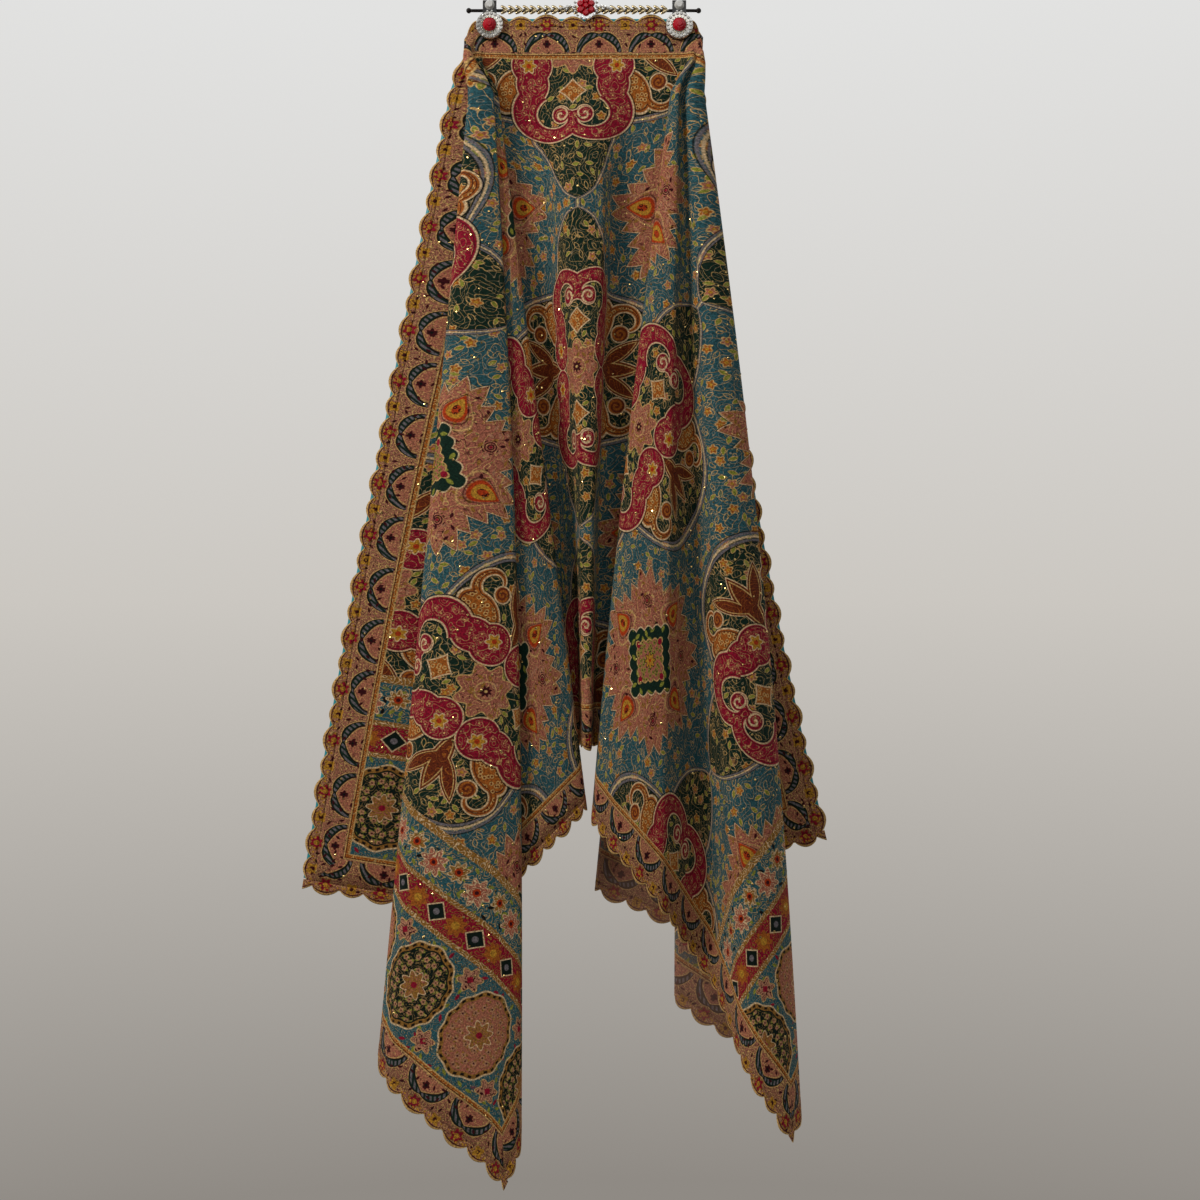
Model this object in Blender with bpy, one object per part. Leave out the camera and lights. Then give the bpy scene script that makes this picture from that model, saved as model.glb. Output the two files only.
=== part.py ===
import math

import bmesh
import bpy
from mathutils import Vector

for old in list(bpy.data.objects):
    bpy.data.objects.remove(old, do_unlink=True)

# Sizes of the cut, in metres. The edging lies outside the cloth's own edges.
CLOTH_WIDTH = 0.928
LEFT_WING = 1.137
RIGHT_WING = 1.074
CLIP_HALF = 0.124
WALL = 0.001
SEAM = 0.0003

# The scalloped edging: one large and one small scallop in each repeat.
REPEAT = 0.0683
LARGE_WIDTH = 0.038
LARGE_DEPTH = 0.016
SMALL_DEPTH = 0.0135
VALLEY_DEPTH = 0.005

# The hanger. Its hook rests on the origin.
CLIP_Z = -0.126
ROD_Z = CLIP_Z + 0.021
ROD_RADIUS = 0.002
ROD_LEFT = -0.155
ROD_RIGHT = 0.153
BALL_RADIUS = 0.0035
HOOK_RADIUS = 0.00175
HOOK_BEND = 0.022

# Near a clip the cloth is flat as far as FLAT_R. Its folds are at their full depth from DEEP_R
# on, and lie over each other from FULL_R on. Its upper edge hangs straight from EDGE_R on.
FLAT_R = 0.020
DEEP_R = 0.058
FULL_R = 0.110
EDGE_R = 0.100
LIFT = 0.30

# Folds of each wing round its clip, at the bottom of the drape. turn is the angle on the flat
# cloth from the upper long edge, lean is how far the fold hangs outward from the vertical, and
# fore is how far it stands forward, all in degrees. start and bow are in millimetres: how far
# outside the clip the fold starts, and how far it bows outward half way down.
LEFT_FOLDS = [
    # turn, lean, fore, start, bow
    (0.0, 10.30, 0.00, 24, 10),
    (3.0, 7.50, 0.05, 20, 8),
    (6.0, 4.60, 0.05, 12, 4),
    (11.2, -0.60, 0.10, 2, 0),
    (11.8, -0.95, 0.28, 2, 0),
    (12.4, -0.60, 0.46, 2, 0),
    (17.4, 4.00, 0.46, 8, 0),
    (18.0, 4.35, 0.64, 8, 0),
    (18.6, 4.00, 0.82, 8, 0),
    (23.0, -0.10, 0.82, 2, 0),
    (23.6, -0.45, 1.00, 2, 0),
    (24.2, -0.10, 1.18, 2, 0),
    (28.6, 4.40, 1.20, 14, 0),
    (29.6, 5.05, 1.60, 18, 0),
    (30.8, 5.10, 2.60, 18, 0),
    (32.6, 4.30, 3.50, 16, 0),
    (35.4, 1.90, 3.85, 10, -4),
    (38.0, -0.40, 3.62, 4, -10),
    (40.2, -1.55, 3.28, 0, -16),
    (41.1, -1.78, 3.10, 0, -16),
    (42.0, -1.72, 2.92, 0, -16),
    (43.0, -1.30, 2.78, 0, -14),
    (44.2, -0.50, 2.72, 0, -11),
    (49.4, 3.60, 2.72, 8, 0),
    (50.0, 4.00, 2.54, 8, 0),
    (50.6, 3.60, 2.36, 8, 0),
    (56.0, -0.50, 2.36, 0, -6),
    (60.0, -3.20, 2.65, 0, -4),
    (63.5, -5.60, 2.60, 0, 0),
    (65.8, -7.00, 2.30, 0, 0),
    (66.8, -7.20, 2.00, 0, 0),
    (67.8, -6.80, 1.82, 0, 0),
    (78.4, 3.20, 1.82, 6, 0),
    (79.0, 3.55, 1.65, 6, 0),
    (79.6, 3.20, 1.48, 6, 0),
    (86.5, -0.60, 1.40, 0, 0),
    (90.0, -2.50, 1.25, 0, 0),
]
RIGHT_FOLDS = [
    # turn, lean, fore, start, bow
    (0.0, 10.80, 0.00, 9, -38),
    (4.0, 7.00, 0.05, 7, -26),
    (9.0, 1.60, 0.00, 3, -8),
    (16.0, -5.20, 0.05, 0, 0),
    (16.8, -5.70, 0.22, 0, 0),
    (17.6, -5.20, 0.42, 0, 0),
    (26.0, 2.60, 0.40, 4, 0),
    (26.6, 2.95, 0.58, 4, 0),
    (27.2, 2.60, 0.76, 4, 0),
    (30.4, -0.10, 0.76, 0, 0),
    (31.0, -0.45, 0.94, 0, 0),
    (31.6, -0.10, 1.12, 0, 0),
    (36.6, 3.90, 1.15, 12, 12),
    (38.4, 5.10, 1.45, 18, 20),
    (39.6, 5.25, 2.20, 20, 20),
    (41.2, 4.55, 3.10, 16, 14),
    (43.0, 3.60, 3.45, 10, 6),
    (44.6, 3.00, 3.10, 4, 2),
    (46.6, 2.60, 2.20, 2, 0),
    (49.0, 1.90, 1.62, 0, 0),
    (51.4, 0.60, 1.72, 0, 0),
    (53.6, -0.40, 2.70, 0, 0),
    (55.6, -1.30, 3.50, 0, 0),
    (58.0, -2.60, 3.55, 0, -4),
    (61.5, -4.40, 3.10, 0, -10),
    (64.5, -5.60, 2.50, 0, -14),
    (65.7, -5.75, 2.16, 0, -14),
    (66.9, -5.40, 1.96, 0, -14),
    (73.4, -2.20, 1.96, 0, -4),
    (74.0, -1.90, 1.80, 0, -4),
    (74.6, -2.20, 1.64, 0, -4),
    (80.2, -5.20, 1.64, 0, -10),
    (80.8, -5.50, 1.48, 0, -10),
    (81.4, -5.20, 1.32, 0, -10),
    (87.2, -2.10, 1.32, 0, -2),
    (87.9, -1.75, 1.12, 0, 0),
    (88.7, -2.00, 0.92, 0, 0),
    (90.0, -2.70, 0.88, 0, 0),
]
# The tongue between the clips: how wide each half stands as a share of the half gap, at
# depths down the cloth in metres.
TONGUE = [
    # down, shoulder
    (0.00, 0.50),
    (0.20, 0.40),
    (0.36, 0.32),
    (0.62, 0.17),
    (0.88, 0.12),
    (1.00, 0.10),
]
# Rows of the cloth's mesh down each fold: first metres from the clip, then shares of the rest.
NEAR_ROWS = (0.0, 0.0202, 0.032, 0.042, 0.051, 0.060, 0.070, 0.084, 0.115)
FAR_ROWS = (0.12, 0.28, 0.48, 0.72, 1.0)
ROW_COUNT = len(NEAR_ROWS) + len(FAR_ROWS)
CENTRE_STEPS = 20


def row_at(i, end):
    """How far from the clip row i is on a fold that ends at end."""
    if i < len(NEAR_ROWS):
        return NEAR_ROWS[i]
    return NEAR_ROWS[-1] + FAR_ROWS[i - len(NEAR_ROWS)] * (end - NEAR_ROWS[-1])


def smooth(x, low, high):
    t = min(1.0, max(0.0, (x - low) / (high - low)))
    return t * t * (3 - 2 * t)


def table_at(rows, x):
    """The other columns of a table at x, linear between its rows."""
    if x <= rows[0][0]:
        return rows[0][1:]
    for a, b in zip(rows, rows[1:]):
        if x <= b[0]:
            t = (x - a[0]) / (b[0] - a[0])
            return tuple(p + (q - p) * t for p, q in zip(a[1:], b[1:]))
    return rows[-1][1:]


def wing_point(side, along, down):
    """A point of a wing: along is from the clip outward, down is from the upper long edge."""
    r = math.hypot(along, down)
    turn = math.degrees(math.atan2(down, along)) if r > 0 else 0.0
    folds = LEFT_FOLDS if side < 0 else RIGHT_FOLDS
    lean, fore, start, bow = table_at(folds, turn)
    if turn < 0:
        lean -= turn
    # close to the clip the folds are soft ripples
    soft = sum(table_at(folds, turn + 1.5 * step)[1] for step in range(-5, 6)) / 11
    keen = smooth(r, FLAT_R, FULL_R)
    fore = soft + (fore - soft) * keen
    a = math.radians(lean)
    b = math.radians(fore)
    w = smooth(r, FLAT_R, EDGE_R + (FULL_R - EDGE_R) * smooth(turn, 0.0, 16.0))
    deep = smooth(r, FLAT_R, DEEP_R)
    out = w * (
        0.001 * start + r * math.sin(a) * math.cos(b)
        + 0.001 * bow * math.sin(math.pi * min(1.0, r / 1.5))
    ) + (1 - w) * along
    front = deep * (r + LIFT) * b
    drop = w * r * math.cos(a) * math.cos(b) + (1 - w) * down
    return Vector((side * (CLIP_HALF + out), -front, CLIP_Z - drop))


def centre_curve(down):
    """The section of the cloth between the clips at one depth, as its points and their lengths."""
    left = wing_point(-1, 0.0, down)
    right = wing_point(1, 0.0, down)
    (shoulder,) = table_at(TONGUE, down)
    middle = (left.x + right.x) / 2
    half = (right.x - left.x) / 2
    target = 2 * CLIP_HALF
    # the foot stands clear of the right wing's back folds, which reach in behind it
    left_foot = 0.004 * smooth(down, 0.0, 0.3)
    right_foot = (down + LIFT) * math.radians(0.72) * smooth(down, FLAT_R, DEEP_R)
    steps = 120

    def points(height):
        out = []
        for i in range(steps + 1):
            t = 2.0 * i / steps - 1.0
            s = abs(t)
            # x runs quickly over the ridge and the foot and slowly up the steep flank
            steep = smooth(s, 0.08, 0.55)
            x = shoulder * (0.55 * min(1.0, s / 0.12) ** 0.8 + 0.45 * steep)
            x = x + (1 - shoulder) * smooth(s, 0.45, 1.0) if s < 1 else 1.0
            blend = smooth(down, 0.0, 0.30)
            x = s * (1 - blend) + x * blend
            rise = 1 - smooth(s, 0.0, 0.62)
            end = left if t < 0 else right
            foot = left_foot + (right_foot - left_foot) * smooth(t, -0.3, 0.3)
            base = foot + (-end.y - foot) * smooth(s, 0.60, 1.0)
            y = -(base + height * rise)
            z = end.z + (left.z + right.z - 2 * end.z) / 2 * (1 - s)
            shift = 0.0045 * (1 - smooth(s, 0.4, 1.0)) * smooth(down, 0.0, 0.7)
            out.append(Vector((middle + shift + half * x * (1 if t > 0 else -1), y, z)))
        return out

    def length(line):
        return sum((b - a).length for a, b in zip(line, line[1:]))

    low, high = 0.0, 0.16
    for _ in range(24):
        mid = (low + high) / 2
        if length(points(mid)) < target:
            low = mid
        else:
            high = mid
    line = points(low * smooth(down, 0.0, 0.22))
    reach = [0.0]
    for a, b in zip(line, line[1:]):
        reach.append(reach[-1] + (b - a).length)
    return line, reach


curves = {}


def centre_point(u, down):
    key = round(max(0.0, down), 5)
    if key not in curves:
        curves[key] = centre_curve(key)
    line, reach = curves[key]
    at = (u + CLIP_HALF) / (2 * CLIP_HALF) * reach[-1]
    i = 0
    while i < len(reach) - 2 and reach[i + 1] < at:
        i += 1
    t = (at - reach[i]) / max(1e-9, reach[i + 1] - reach[i])
    p = line[i] + (line[i + 1] - line[i]) * t
    return p + Vector((0, 0, -min(0.0, down)))


def drape(u, v):
    """Where the cloth's point u along and v down from its upper edge hangs."""
    if abs(u) <= CLIP_HALF:
        return centre_point(u, v)
    side = -1 if u < 0 else 1
    return wing_point(side, abs(u) - CLIP_HALF, v)


def outward(u, v):
    """The cloth's normal on its printed side."""
    e = 0.0006
    du = drape(u + e, v) - drape(u - e, v)
    dv = drape(u, v + e) - drape(u, v - e)
    n = dv.cross(du)
    if n.length < 1e-12:
        return Vector((0, -1, 0))
    return n.normalized()


def material(name, colour, metallic=0.0, roughness=0.8):
    m = bpy.data.materials.new(name)
    m.use_nodes = True
    m.diffuse_color = (*colour, 1)
    shader = m.node_tree.nodes["Principled BSDF"]
    shader.inputs["Base Color"].default_value = (*colour, 1)
    shader.inputs["Metallic"].default_value = metallic
    shader.inputs["Roughness"].default_value = roughness
    return m


def keep(name, bm, mat, smooth_faces=True):
    bmesh.ops.recalc_face_normals(bm, faces=bm.faces)
    mesh = bpy.data.meshes.new(name)
    bm.to_mesh(mesh)
    bm.free()
    for face in mesh.polygons:
        face.use_smooth = smooth_faces
    mesh.materials.append(mat)
    obj = bpy.data.objects.new(name, mesh)
    bpy.context.scene.collection.objects.link(obj)
    return obj


def wall_from(name, points, normals, faces, mat, offset=0.0):
    """A closed wall of even thickness from a sheet of points, its normals and its faces."""
    bm = bmesh.new()
    front = [bm.verts.new(p + n * (offset + WALL / 2)) for p, n in zip(points, normals)]
    back = [bm.verts.new(p + n * (offset - WALL / 2)) for p, n in zip(points, normals)]
    edges = {}
    for face in faces:
        bm.faces.new([front[i] for i in face])
        bm.faces.new([back[i] for i in reversed(face)])
        for a, b in zip(face, face[1:] + face[:1]):
            edges[(a, b)] = edges.get((a, b), 0) + 1
    for a, b in edges:
        if (b, a) not in edges:
            bm.faces.new([front[b], front[a], back[a], back[b]])
    bmesh.ops.triangulate(bm, faces=[f for f in bm.faces if len(f.verts) > 3])
    return keep(name, bm, mat)


def point_normals(points, faces):
    normals = [Vector((0, 0, 0)) for _ in points]
    for face in faces:
        p = [points[i] for i in face]
        n = Vector((0, 0, 0))
        for i in range(1, len(p) - 1):
            n += (p[i] - p[0]).cross(p[i + 1] - p[0])
        if n.length > 1e-12:
            n = n.normalized()
            for i in face:
                normals[i] += n
    return [n.normalized() if n.length > 1e-9 else Vector((0, -1, 0)) for n in normals]


# The cloth's sheet: polar rows round each clip, joined by the tongue's rows between them.
def wing_columns(folds, length):
    corner = math.degrees(math.atan2(CLOTH_WIDTH, length))
    turns = [row[0] for row in folds]
    near = min(range(len(turns)), key=lambda i: abs(turns[i] - corner))
    if 0 < near < len(turns) - 1:
        turns[near] = corner
    return turns


def ray_end(turn, length):
    a = math.radians(turn)
    reach = []
    if math.cos(a) > 1e-9:
        reach.append(length / math.cos(a))
    if math.sin(a) > 1e-9:
        reach.append(CLOTH_WIDTH / math.sin(a))
    return min(reach)


points = []
# Ends of the folds on each edge: place along the edge, last point and the one before it.
hems = {"bottom": [], "left": [], "right": []}
index = {}


def add(key, u, v):
    if key not in index:
        index[key] = len(points)
        points.append((u, v))
    return index[key]


faces = []


def wing_faces(side):
    folds = LEFT_FOLDS if side < 0 else RIGHT_FOLDS
    length = LEFT_WING if side < 0 else RIGHT_WING
    turns = wing_columns(folds, length)
    grid = []
    for turn in turns:
        end = ray_end(turn, length)
        column = []
        for i in range(ROW_COUNT):
            r = row_at(i, end)
            u = side * (CLIP_HALF + r * math.cos(math.radians(turn)))
            v = r * math.sin(math.radians(turn))
            if turn == 90.0 or i == 0:
                u = side * CLIP_HALF
                v = r
                key = ("line", side, i)
            else:
                key = ("wing", side, turn, i)
            column.append(add(key, u, v))
        grid.append(column)
        u, v = points[column[-1]]
        if abs(v - CLOTH_WIDTH) < 1e-6:
            hems["bottom"].append((u, column[-1], column[-2]))
        if abs(abs(u) - CLIP_HALF - length) < 1e-6:
            hems["left" if side < 0 else "right"].append((v, column[-1], column[-2]))
    for a, b in zip(grid, grid[1:]):
        for i in range(ROW_COUNT - 1):
            face = [a[i], b[i], b[i + 1], a[i + 1]] if i else [a[0], b[1], a[1]]
            faces.append(face if side > 0 else face[::-1])
    return grid


left_grid = wing_faces(-1)
right_grid = wing_faces(1)
centre_grid = []
for j in range(CENTRE_STEPS + 1):
    u = -CLIP_HALF + 2 * CLIP_HALF * j / CENTRE_STEPS
    column = []
    for i in range(ROW_COUNT):
        if j == 0:
            column.append(index[("line", -1, i)])
        elif j == CENTRE_STEPS:
            column.append(index[("line", 1, i)])
        else:
            column.append(add(("centre", j, i), u, row_at(i, CLOTH_WIDTH)))
    centre_grid.append(column)
    if 0 < j < CENTRE_STEPS:
        hems["bottom"].append((u, column[-1], column[-2]))
for a, b in zip(centre_grid, centre_grid[1:]):
    for i in range(ROW_COUNT - 1):
        faces.append([b[i], a[i], a[i + 1], b[i + 1]])

placed = [drape(u, v) for u, v in points]
normals = point_normals(placed, faces)
# the printed side faces the viewer, who stands at -Y
flat = sum(n.y for n, (u, v) in zip(normals, points) if abs(u) < CLIP_HALF and v < 0.1)
if flat > 0:
    faces = [f[::-1] for f in faces]
    normals = [-n for n in normals]

printed = material("printed_cloth", (0.36, 0.24, 0.18))
embroidered = material("embroidered_edge", (0.55, 0.38, 0.27))
turquoise = material("turquoise_facing", (0.05, 0.45, 0.47))
dark_metal = material("dark_wire", (0.05, 0.05, 0.05), 1.0, 0.35)
black = material("black_clip", (0.02, 0.02, 0.02), 0.0, 0.4)
gilt = material("gilt_rosette", (0.75, 0.6, 0.35), 1.0, 0.3)

wall_from("cloth", placed, normals, faces, printed)


# Edges of the cloth as lines of (place along, point, normal, way out), in its own chords.
def edge_line(name):
    if name == "top":
        rows = [
            (u, p, n, drape(u, -0.01) - drape(u, 0.0))
            for (u, v), p, n in zip(points, placed, normals)
            if abs(v) < 1e-9
        ]
        return sorted(rows, key=lambda row: row[0])
    ends = sorted(hems[name], key=lambda row: row[0])
    rows = []
    for i, (s, last, before) in enumerate(ends):
        a, b = ends[max(0, i - 1)], ends[min(len(ends) - 1, i + 1)]
        edge = (placed[b[1]] - placed[a[1]]) / (b[0] - a[0])
        u, v = points[last]
        du, dv = u - points[before][0], v - points[before][1]
        fold = placed[last] - placed[before]
        # the way out of the edge, from the fold's own line and the edge's line
        if name == "bottom":
            away = (fold - edge * du) / dv
        else:
            away = (fold - edge * dv) / abs(du)
        rows.append((s, placed[last], normals[last], away))
    return rows


def on_line(line, at):
    if at <= line[0][0]:
        a, b = line[0], line[1]
    elif at >= line[-1][0]:
        a, b = line[-2], line[-1]
    else:
        a, b = next((a, b) for a, b in zip(line, line[1:]) if at <= b[0])
    t = (at - a[0]) / (b[0] - a[0])
    n = (a[2] + (b[2] - a[2]) * t).normalized()
    return a[1] + (b[1] - a[1]) * t, n, (a[3] + (b[3] - a[3]) * t).normalized()


def scallop(s):
    """How far the edging reaches at s along it: a large and a small scallop in each repeat."""
    t = s % REPEAT
    if t < LARGE_WIDTH:
        f, deep = t / LARGE_WIDTH, LARGE_DEPTH
    else:
        f, deep = (t - LARGE_WIDTH) / (REPEAT - LARGE_WIDTH), SMALL_DEPTH
    return VALLEY_DEPTH + (deep - VALLEY_DEPTH) * math.sin(math.pi * f) ** 0.7


def edging_stops(low, high, line):
    """Where the edging has its columns: each scallop's foot and shoulders, and the folds."""
    stops = []
    first = math.floor(low / REPEAT)
    while first * REPEAT < high:
        base = first * REPEAT
        small = REPEAT - LARGE_WIDTH
        for f in (0.0, 0.26, 0.74):
            stops.append(base + f * LARGE_WIDTH)
            stops.append(base + LARGE_WIDTH + f * small)
        first += 1
    folds = [row[0] for row in line if low + 0.004 < row[0] < high - 0.004]
    stops = [s for s in stops if low + 0.003 < s < high - 0.003]
    # where the cloth turns sharply the edging keeps to its folds
    tight = [(a[0], b[0]) for a, b in zip(line, line[1:]) if a[2].dot(b[2]) < 0.7]
    stops = [s for s in stops if not any(a < s < b for a, b in tight)]
    stops = [s for s in stops if all(abs(s - f) > 0.004 for f in folds)]
    stops = sorted(stops + folds + [low, high])
    kept = [stops[0]]
    for s in stops[1:]:
        if s - kept[-1] > 0.002:
            kept.append(s)
    kept[-1] = stops[-1]
    return kept


def edging(name, mat, reach, low_extra, high_extra):
    side = name.split("_")[1]
    line = edge_line(side)
    low = line[0][0] - low_extra
    high = line[-1][0] + high_extra
    stops = edging_stops(low, high, line)
    sheet, normal_list, quads = [], [], []
    for s in stops:
        root, n, away = on_line(line, min(max(s, line[0][0]), line[-1][0]))
        if not line[0][0] <= s <= line[-1][0]:
            # past a corner the edging runs on along the other edge's way out
            corner = "top" if s < line[0][0] else "bottom"
            other = edge_line(corner)
            over = s - line[0][0] if s < line[0][0] else s - line[-1][0]
            root = root + other[0 if side == "left" else -1][3].normalized() * abs(over)
        sheet += [root + away * SEAM, root + away * reach(s)]
        normal_list += [n, n]
    for i in range(len(stops) - 1):
        quads.append([2 * i, 2 * i + 1, 2 * i + 3, 2 * i + 2])
    check = point_normals(sheet, quads)
    if sum(a.dot(b) for a, b in zip(check, normal_list)) < 0:
        quads = [q[::-1] for q in quads]
    wall_from(name, sheet, normal_list, quads, mat)


edging("edging_top", embroidered, scallop, -SEAM, -SEAM)
edging("edging_bottom", embroidered, scallop, -SEAM, -SEAM)
edging("edging_left", embroidered, scallop, 0.010, 0.010)
edging("edging_right", embroidered, scallop, 0.010, 0.010)


# The turquoise strip behind the upper edging.
def facing():
    line = edge_line("top")
    low, high = line[0][0] + 0.002, line[-1][0] - 0.002
    stops = [low] + [row[0] for row in line if low + 0.01 < row[0] < high - 0.01] + [high]
    sheet, normal_list, quads = [], [], []
    for s in stops:
        root, n, away = on_line(line, s)
        sheet += [root + away * 0.001, root + away * 0.0115]
        normal_list += [n, n]
    for i in range(len(stops) - 1):
        quads.append([2 * i, 2 * i + 1, 2 * i + 3, 2 * i + 2])
    check = point_normals(sheet, quads)
    if sum(a.dot(b) for a, b in zip(check, normal_list)) < 0:
        quads = [q[::-1] for q in quads]
    wall_from("facing_top", sheet, normal_list, quads, turquoise, -(WALL + SEAM))


facing()


# The hanger: a rod with ball ends and a wire hook that stands on it.
def tube(line, radius, around, mat_name=None):
    bm = bmesh.new()
    rings = []
    side = Vector((0, 1, 0))
    for i, p in enumerate(line):
        a = line[max(0, i - 1)]
        b = line[min(len(line) - 1, i + 1)]
        along = (b - a).normalized()
        up = along.cross(side).normalized()
        ring = []
        for k in range(around):
            t = 2 * math.pi * k / around
            ring.append(bm.verts.new(p + radius * (math.cos(t) * side + math.sin(t) * up)))
        rings.append(ring)
    for a, b in zip(rings, rings[1:]):
        for k in range(around):
            m = (k + 1) % around
            bm.faces.new([a[k], a[m], b[m], b[k]])
    bm.faces.new(rings[0])
    bm.faces.new(rings[-1][::-1])
    bmesh.ops.recalc_face_normals(bm, faces=bm.faces)
    return bm


def turned(profile, around, centre, axis):
    """A closed turned solid from (distance along the axis, radius) rows."""
    bm = bmesh.new()
    axis = axis.normalized()
    side = Vector((0, 0, 1)) if abs(axis.z) < 0.9 else Vector((1, 0, 0))
    up = axis.cross(side).normalized()
    rings = []
    for along, radius in profile:
        if radius < 1e-6:
            rings.append([bm.verts.new(centre + axis * along)])
            continue
        ring = []
        for k in range(around):
            t = 2 * math.pi * k / around
            ring.append(
                bm.verts.new(centre + axis * along + radius * (math.cos(t) * side + math.sin(t) * up))
            )
        rings.append(ring)
    for a, b in zip(rings, rings[1:]):
        for k in range(around):
            m = (k + 1) % around
            if len(a) == 1:
                bm.faces.new([a[0], b[m], b[k]])
            elif len(b) == 1:
                bm.faces.new([a[k], a[m], b[0]])
            else:
                bm.faces.new([a[k], a[m], b[m], b[k]])
    bmesh.ops.recalc_face_normals(bm, faces=bm.faces)
    return bm


def joined(obj, other):
    """Adds another solid to obj and removes it."""
    cut = obj.modifiers.new("join", "BOOLEAN")
    cut.operation = "UNION"
    cut.solver = "EXACT"
    cut.object = other
    other.hide_render = True
    other.display_type = "WIRE"


def box_mesh(low, high):
    bm = bmesh.new()
    bmesh.ops.create_cube(bm, size=1.0)
    for vert in bm.verts:
        vert.co = Vector(
            [(a + b) / 2 + c * (b - a) for a, b, c in zip(low, high, vert.co)]
        )
    return bm


rod_profile = [(0.0, 0.0)]
for k in range(1, 5):
    t = math.pi * k / 6
    rod_profile.append((BALL_RADIUS * (1 - math.cos(t)), BALL_RADIUS * math.sin(t)))
rod_length = ROD_RIGHT - ROD_LEFT
neck = BALL_RADIUS + math.sqrt(BALL_RADIUS**2 - ROD_RADIUS**2)
rod_profile.append((neck, ROD_RADIUS))
rod_profile += [(rod_length - x, r) for x, r in reversed(rod_profile)]
rod = keep(
    "hanger",
    turned(rod_profile, 16, Vector((ROD_LEFT, 0, ROD_Z)), Vector((1, 0, 0))),
    dark_metal,
)
bend_line = HOOK_BEND + HOOK_RADIUS
middle_z = -HOOK_BEND
hook_line = [
    Vector((0, 0, ROD_Z)),
    Vector((0, 0, ROD_Z + 0.022)),
    Vector((0, 0, ROD_Z + 0.036)),
    Vector((0.003, 0, ROD_Z + 0.046)),
    Vector((0.010, 0, ROD_Z + 0.055)),
    Vector((0.0175, 0, ROD_Z + 0.0635)),
]
for k in range(13):
    t = math.radians(-24 + 17.5 * k)
    hook_line.append(Vector((bend_line * math.cos(t), 0, middle_z + bend_line * math.sin(t))))
stem = keep("hook_wire", tube(hook_line, HOOK_RADIUS, 12), dark_metal)
joined(rod, stem)


# Each clip: a block round the rod with a front and a back jaw that hold the cloth's edge.
CLIP_HALF_WIDTH = 0.009
FRONT_JAW = (-0.0034, -0.0008)
BACK_JAW = (0.0022, 0.0048)
JAW_TOP = CLIP_Z + 0.0172
JAW_BOTTOM = CLIP_Z - 0.0165
BLOCK_TOP = ROD_Z + 0.013


def clip(name, x):
    bm = bmesh.new()
    outline = [
        (FRONT_JAW[0], JAW_BOTTOM),
        (FRONT_JAW[1], JAW_BOTTOM),
        (FRONT_JAW[1], JAW_TOP),
        (BACK_JAW[0], JAW_TOP),
        (BACK_JAW[0], JAW_BOTTOM),
        (BACK_JAW[1], JAW_BOTTOM),
        (BACK_JAW[1], BLOCK_TOP - 0.003),
        (0.0020, BLOCK_TOP),
        (-0.0018, BLOCK_TOP),
        (FRONT_JAW[0], BLOCK_TOP - 0.003),
    ]
    a = [bm.verts.new((x - CLIP_HALF_WIDTH, y, z)) for y, z in outline]
    b = [bm.verts.new((x + CLIP_HALF_WIDTH, y, z)) for y, z in outline]
    bm.faces.new(a)
    bm.faces.new(b[::-1])
    for i in range(len(outline)):
        j = (i + 1) % len(outline)
        bm.faces.new([a[i], b[i], b[j], a[j]])
    body = keep(name, bm, black, False)
    cutter = keep(
        name + "_bore",
        turned(
            [(0, 0.0), (0, 0.0024), (0.03, 0.0024), (0.03, 0.0)],
            16,
            Vector((x - 0.015, 0, ROD_Z)),
            Vector((1, 0, 0)),
        ),
        black,
    )
    cut = body.modifiers.new("bore", "BOOLEAN")
    cut.operation = "DIFFERENCE"
    cut.solver = "EXACT"
    cut.object = cutter
    cutter.hide_render = True
    cutter.display_type = "WIRE"


clip("clip_left", -CLIP_HALF)
clip("clip_right", CLIP_HALF)

for name, x in (("rosette_left", -CLIP_HALF), ("rosette_right", CLIP_HALF)):
    rows = [
        (0.0, 0.0),
        (0.0, 0.0165),
        (0.0012, 0.0180),
        (0.0026, 0.0172),
        (0.0030, 0.0098),
        (0.0042, 0.0088),
        (0.0060, 0.0060),
        (0.0066, 0.0),
    ]
    front = FRONT_JAW[0] - SEAM
    keep(name, turned(rows, 24, Vector((x, front, CLIP_Z)), Vector((0, -1, 0))), gilt)
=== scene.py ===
import math
import random

import bmesh
import bpy
from mathutils import Matrix, Vector, noise


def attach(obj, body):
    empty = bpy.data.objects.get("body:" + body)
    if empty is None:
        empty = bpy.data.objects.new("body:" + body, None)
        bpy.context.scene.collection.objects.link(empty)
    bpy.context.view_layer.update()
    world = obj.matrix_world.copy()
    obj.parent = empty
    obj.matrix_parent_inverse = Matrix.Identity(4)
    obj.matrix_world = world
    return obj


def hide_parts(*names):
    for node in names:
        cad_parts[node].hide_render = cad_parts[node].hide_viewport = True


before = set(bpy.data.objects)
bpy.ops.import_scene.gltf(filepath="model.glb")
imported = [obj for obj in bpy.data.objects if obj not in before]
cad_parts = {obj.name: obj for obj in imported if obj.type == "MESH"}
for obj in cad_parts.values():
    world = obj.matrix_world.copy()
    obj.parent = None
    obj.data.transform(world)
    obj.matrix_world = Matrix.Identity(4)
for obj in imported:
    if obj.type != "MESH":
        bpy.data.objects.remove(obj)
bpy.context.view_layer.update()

scene = bpy.context.scene
chance = random.Random(7)

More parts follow.
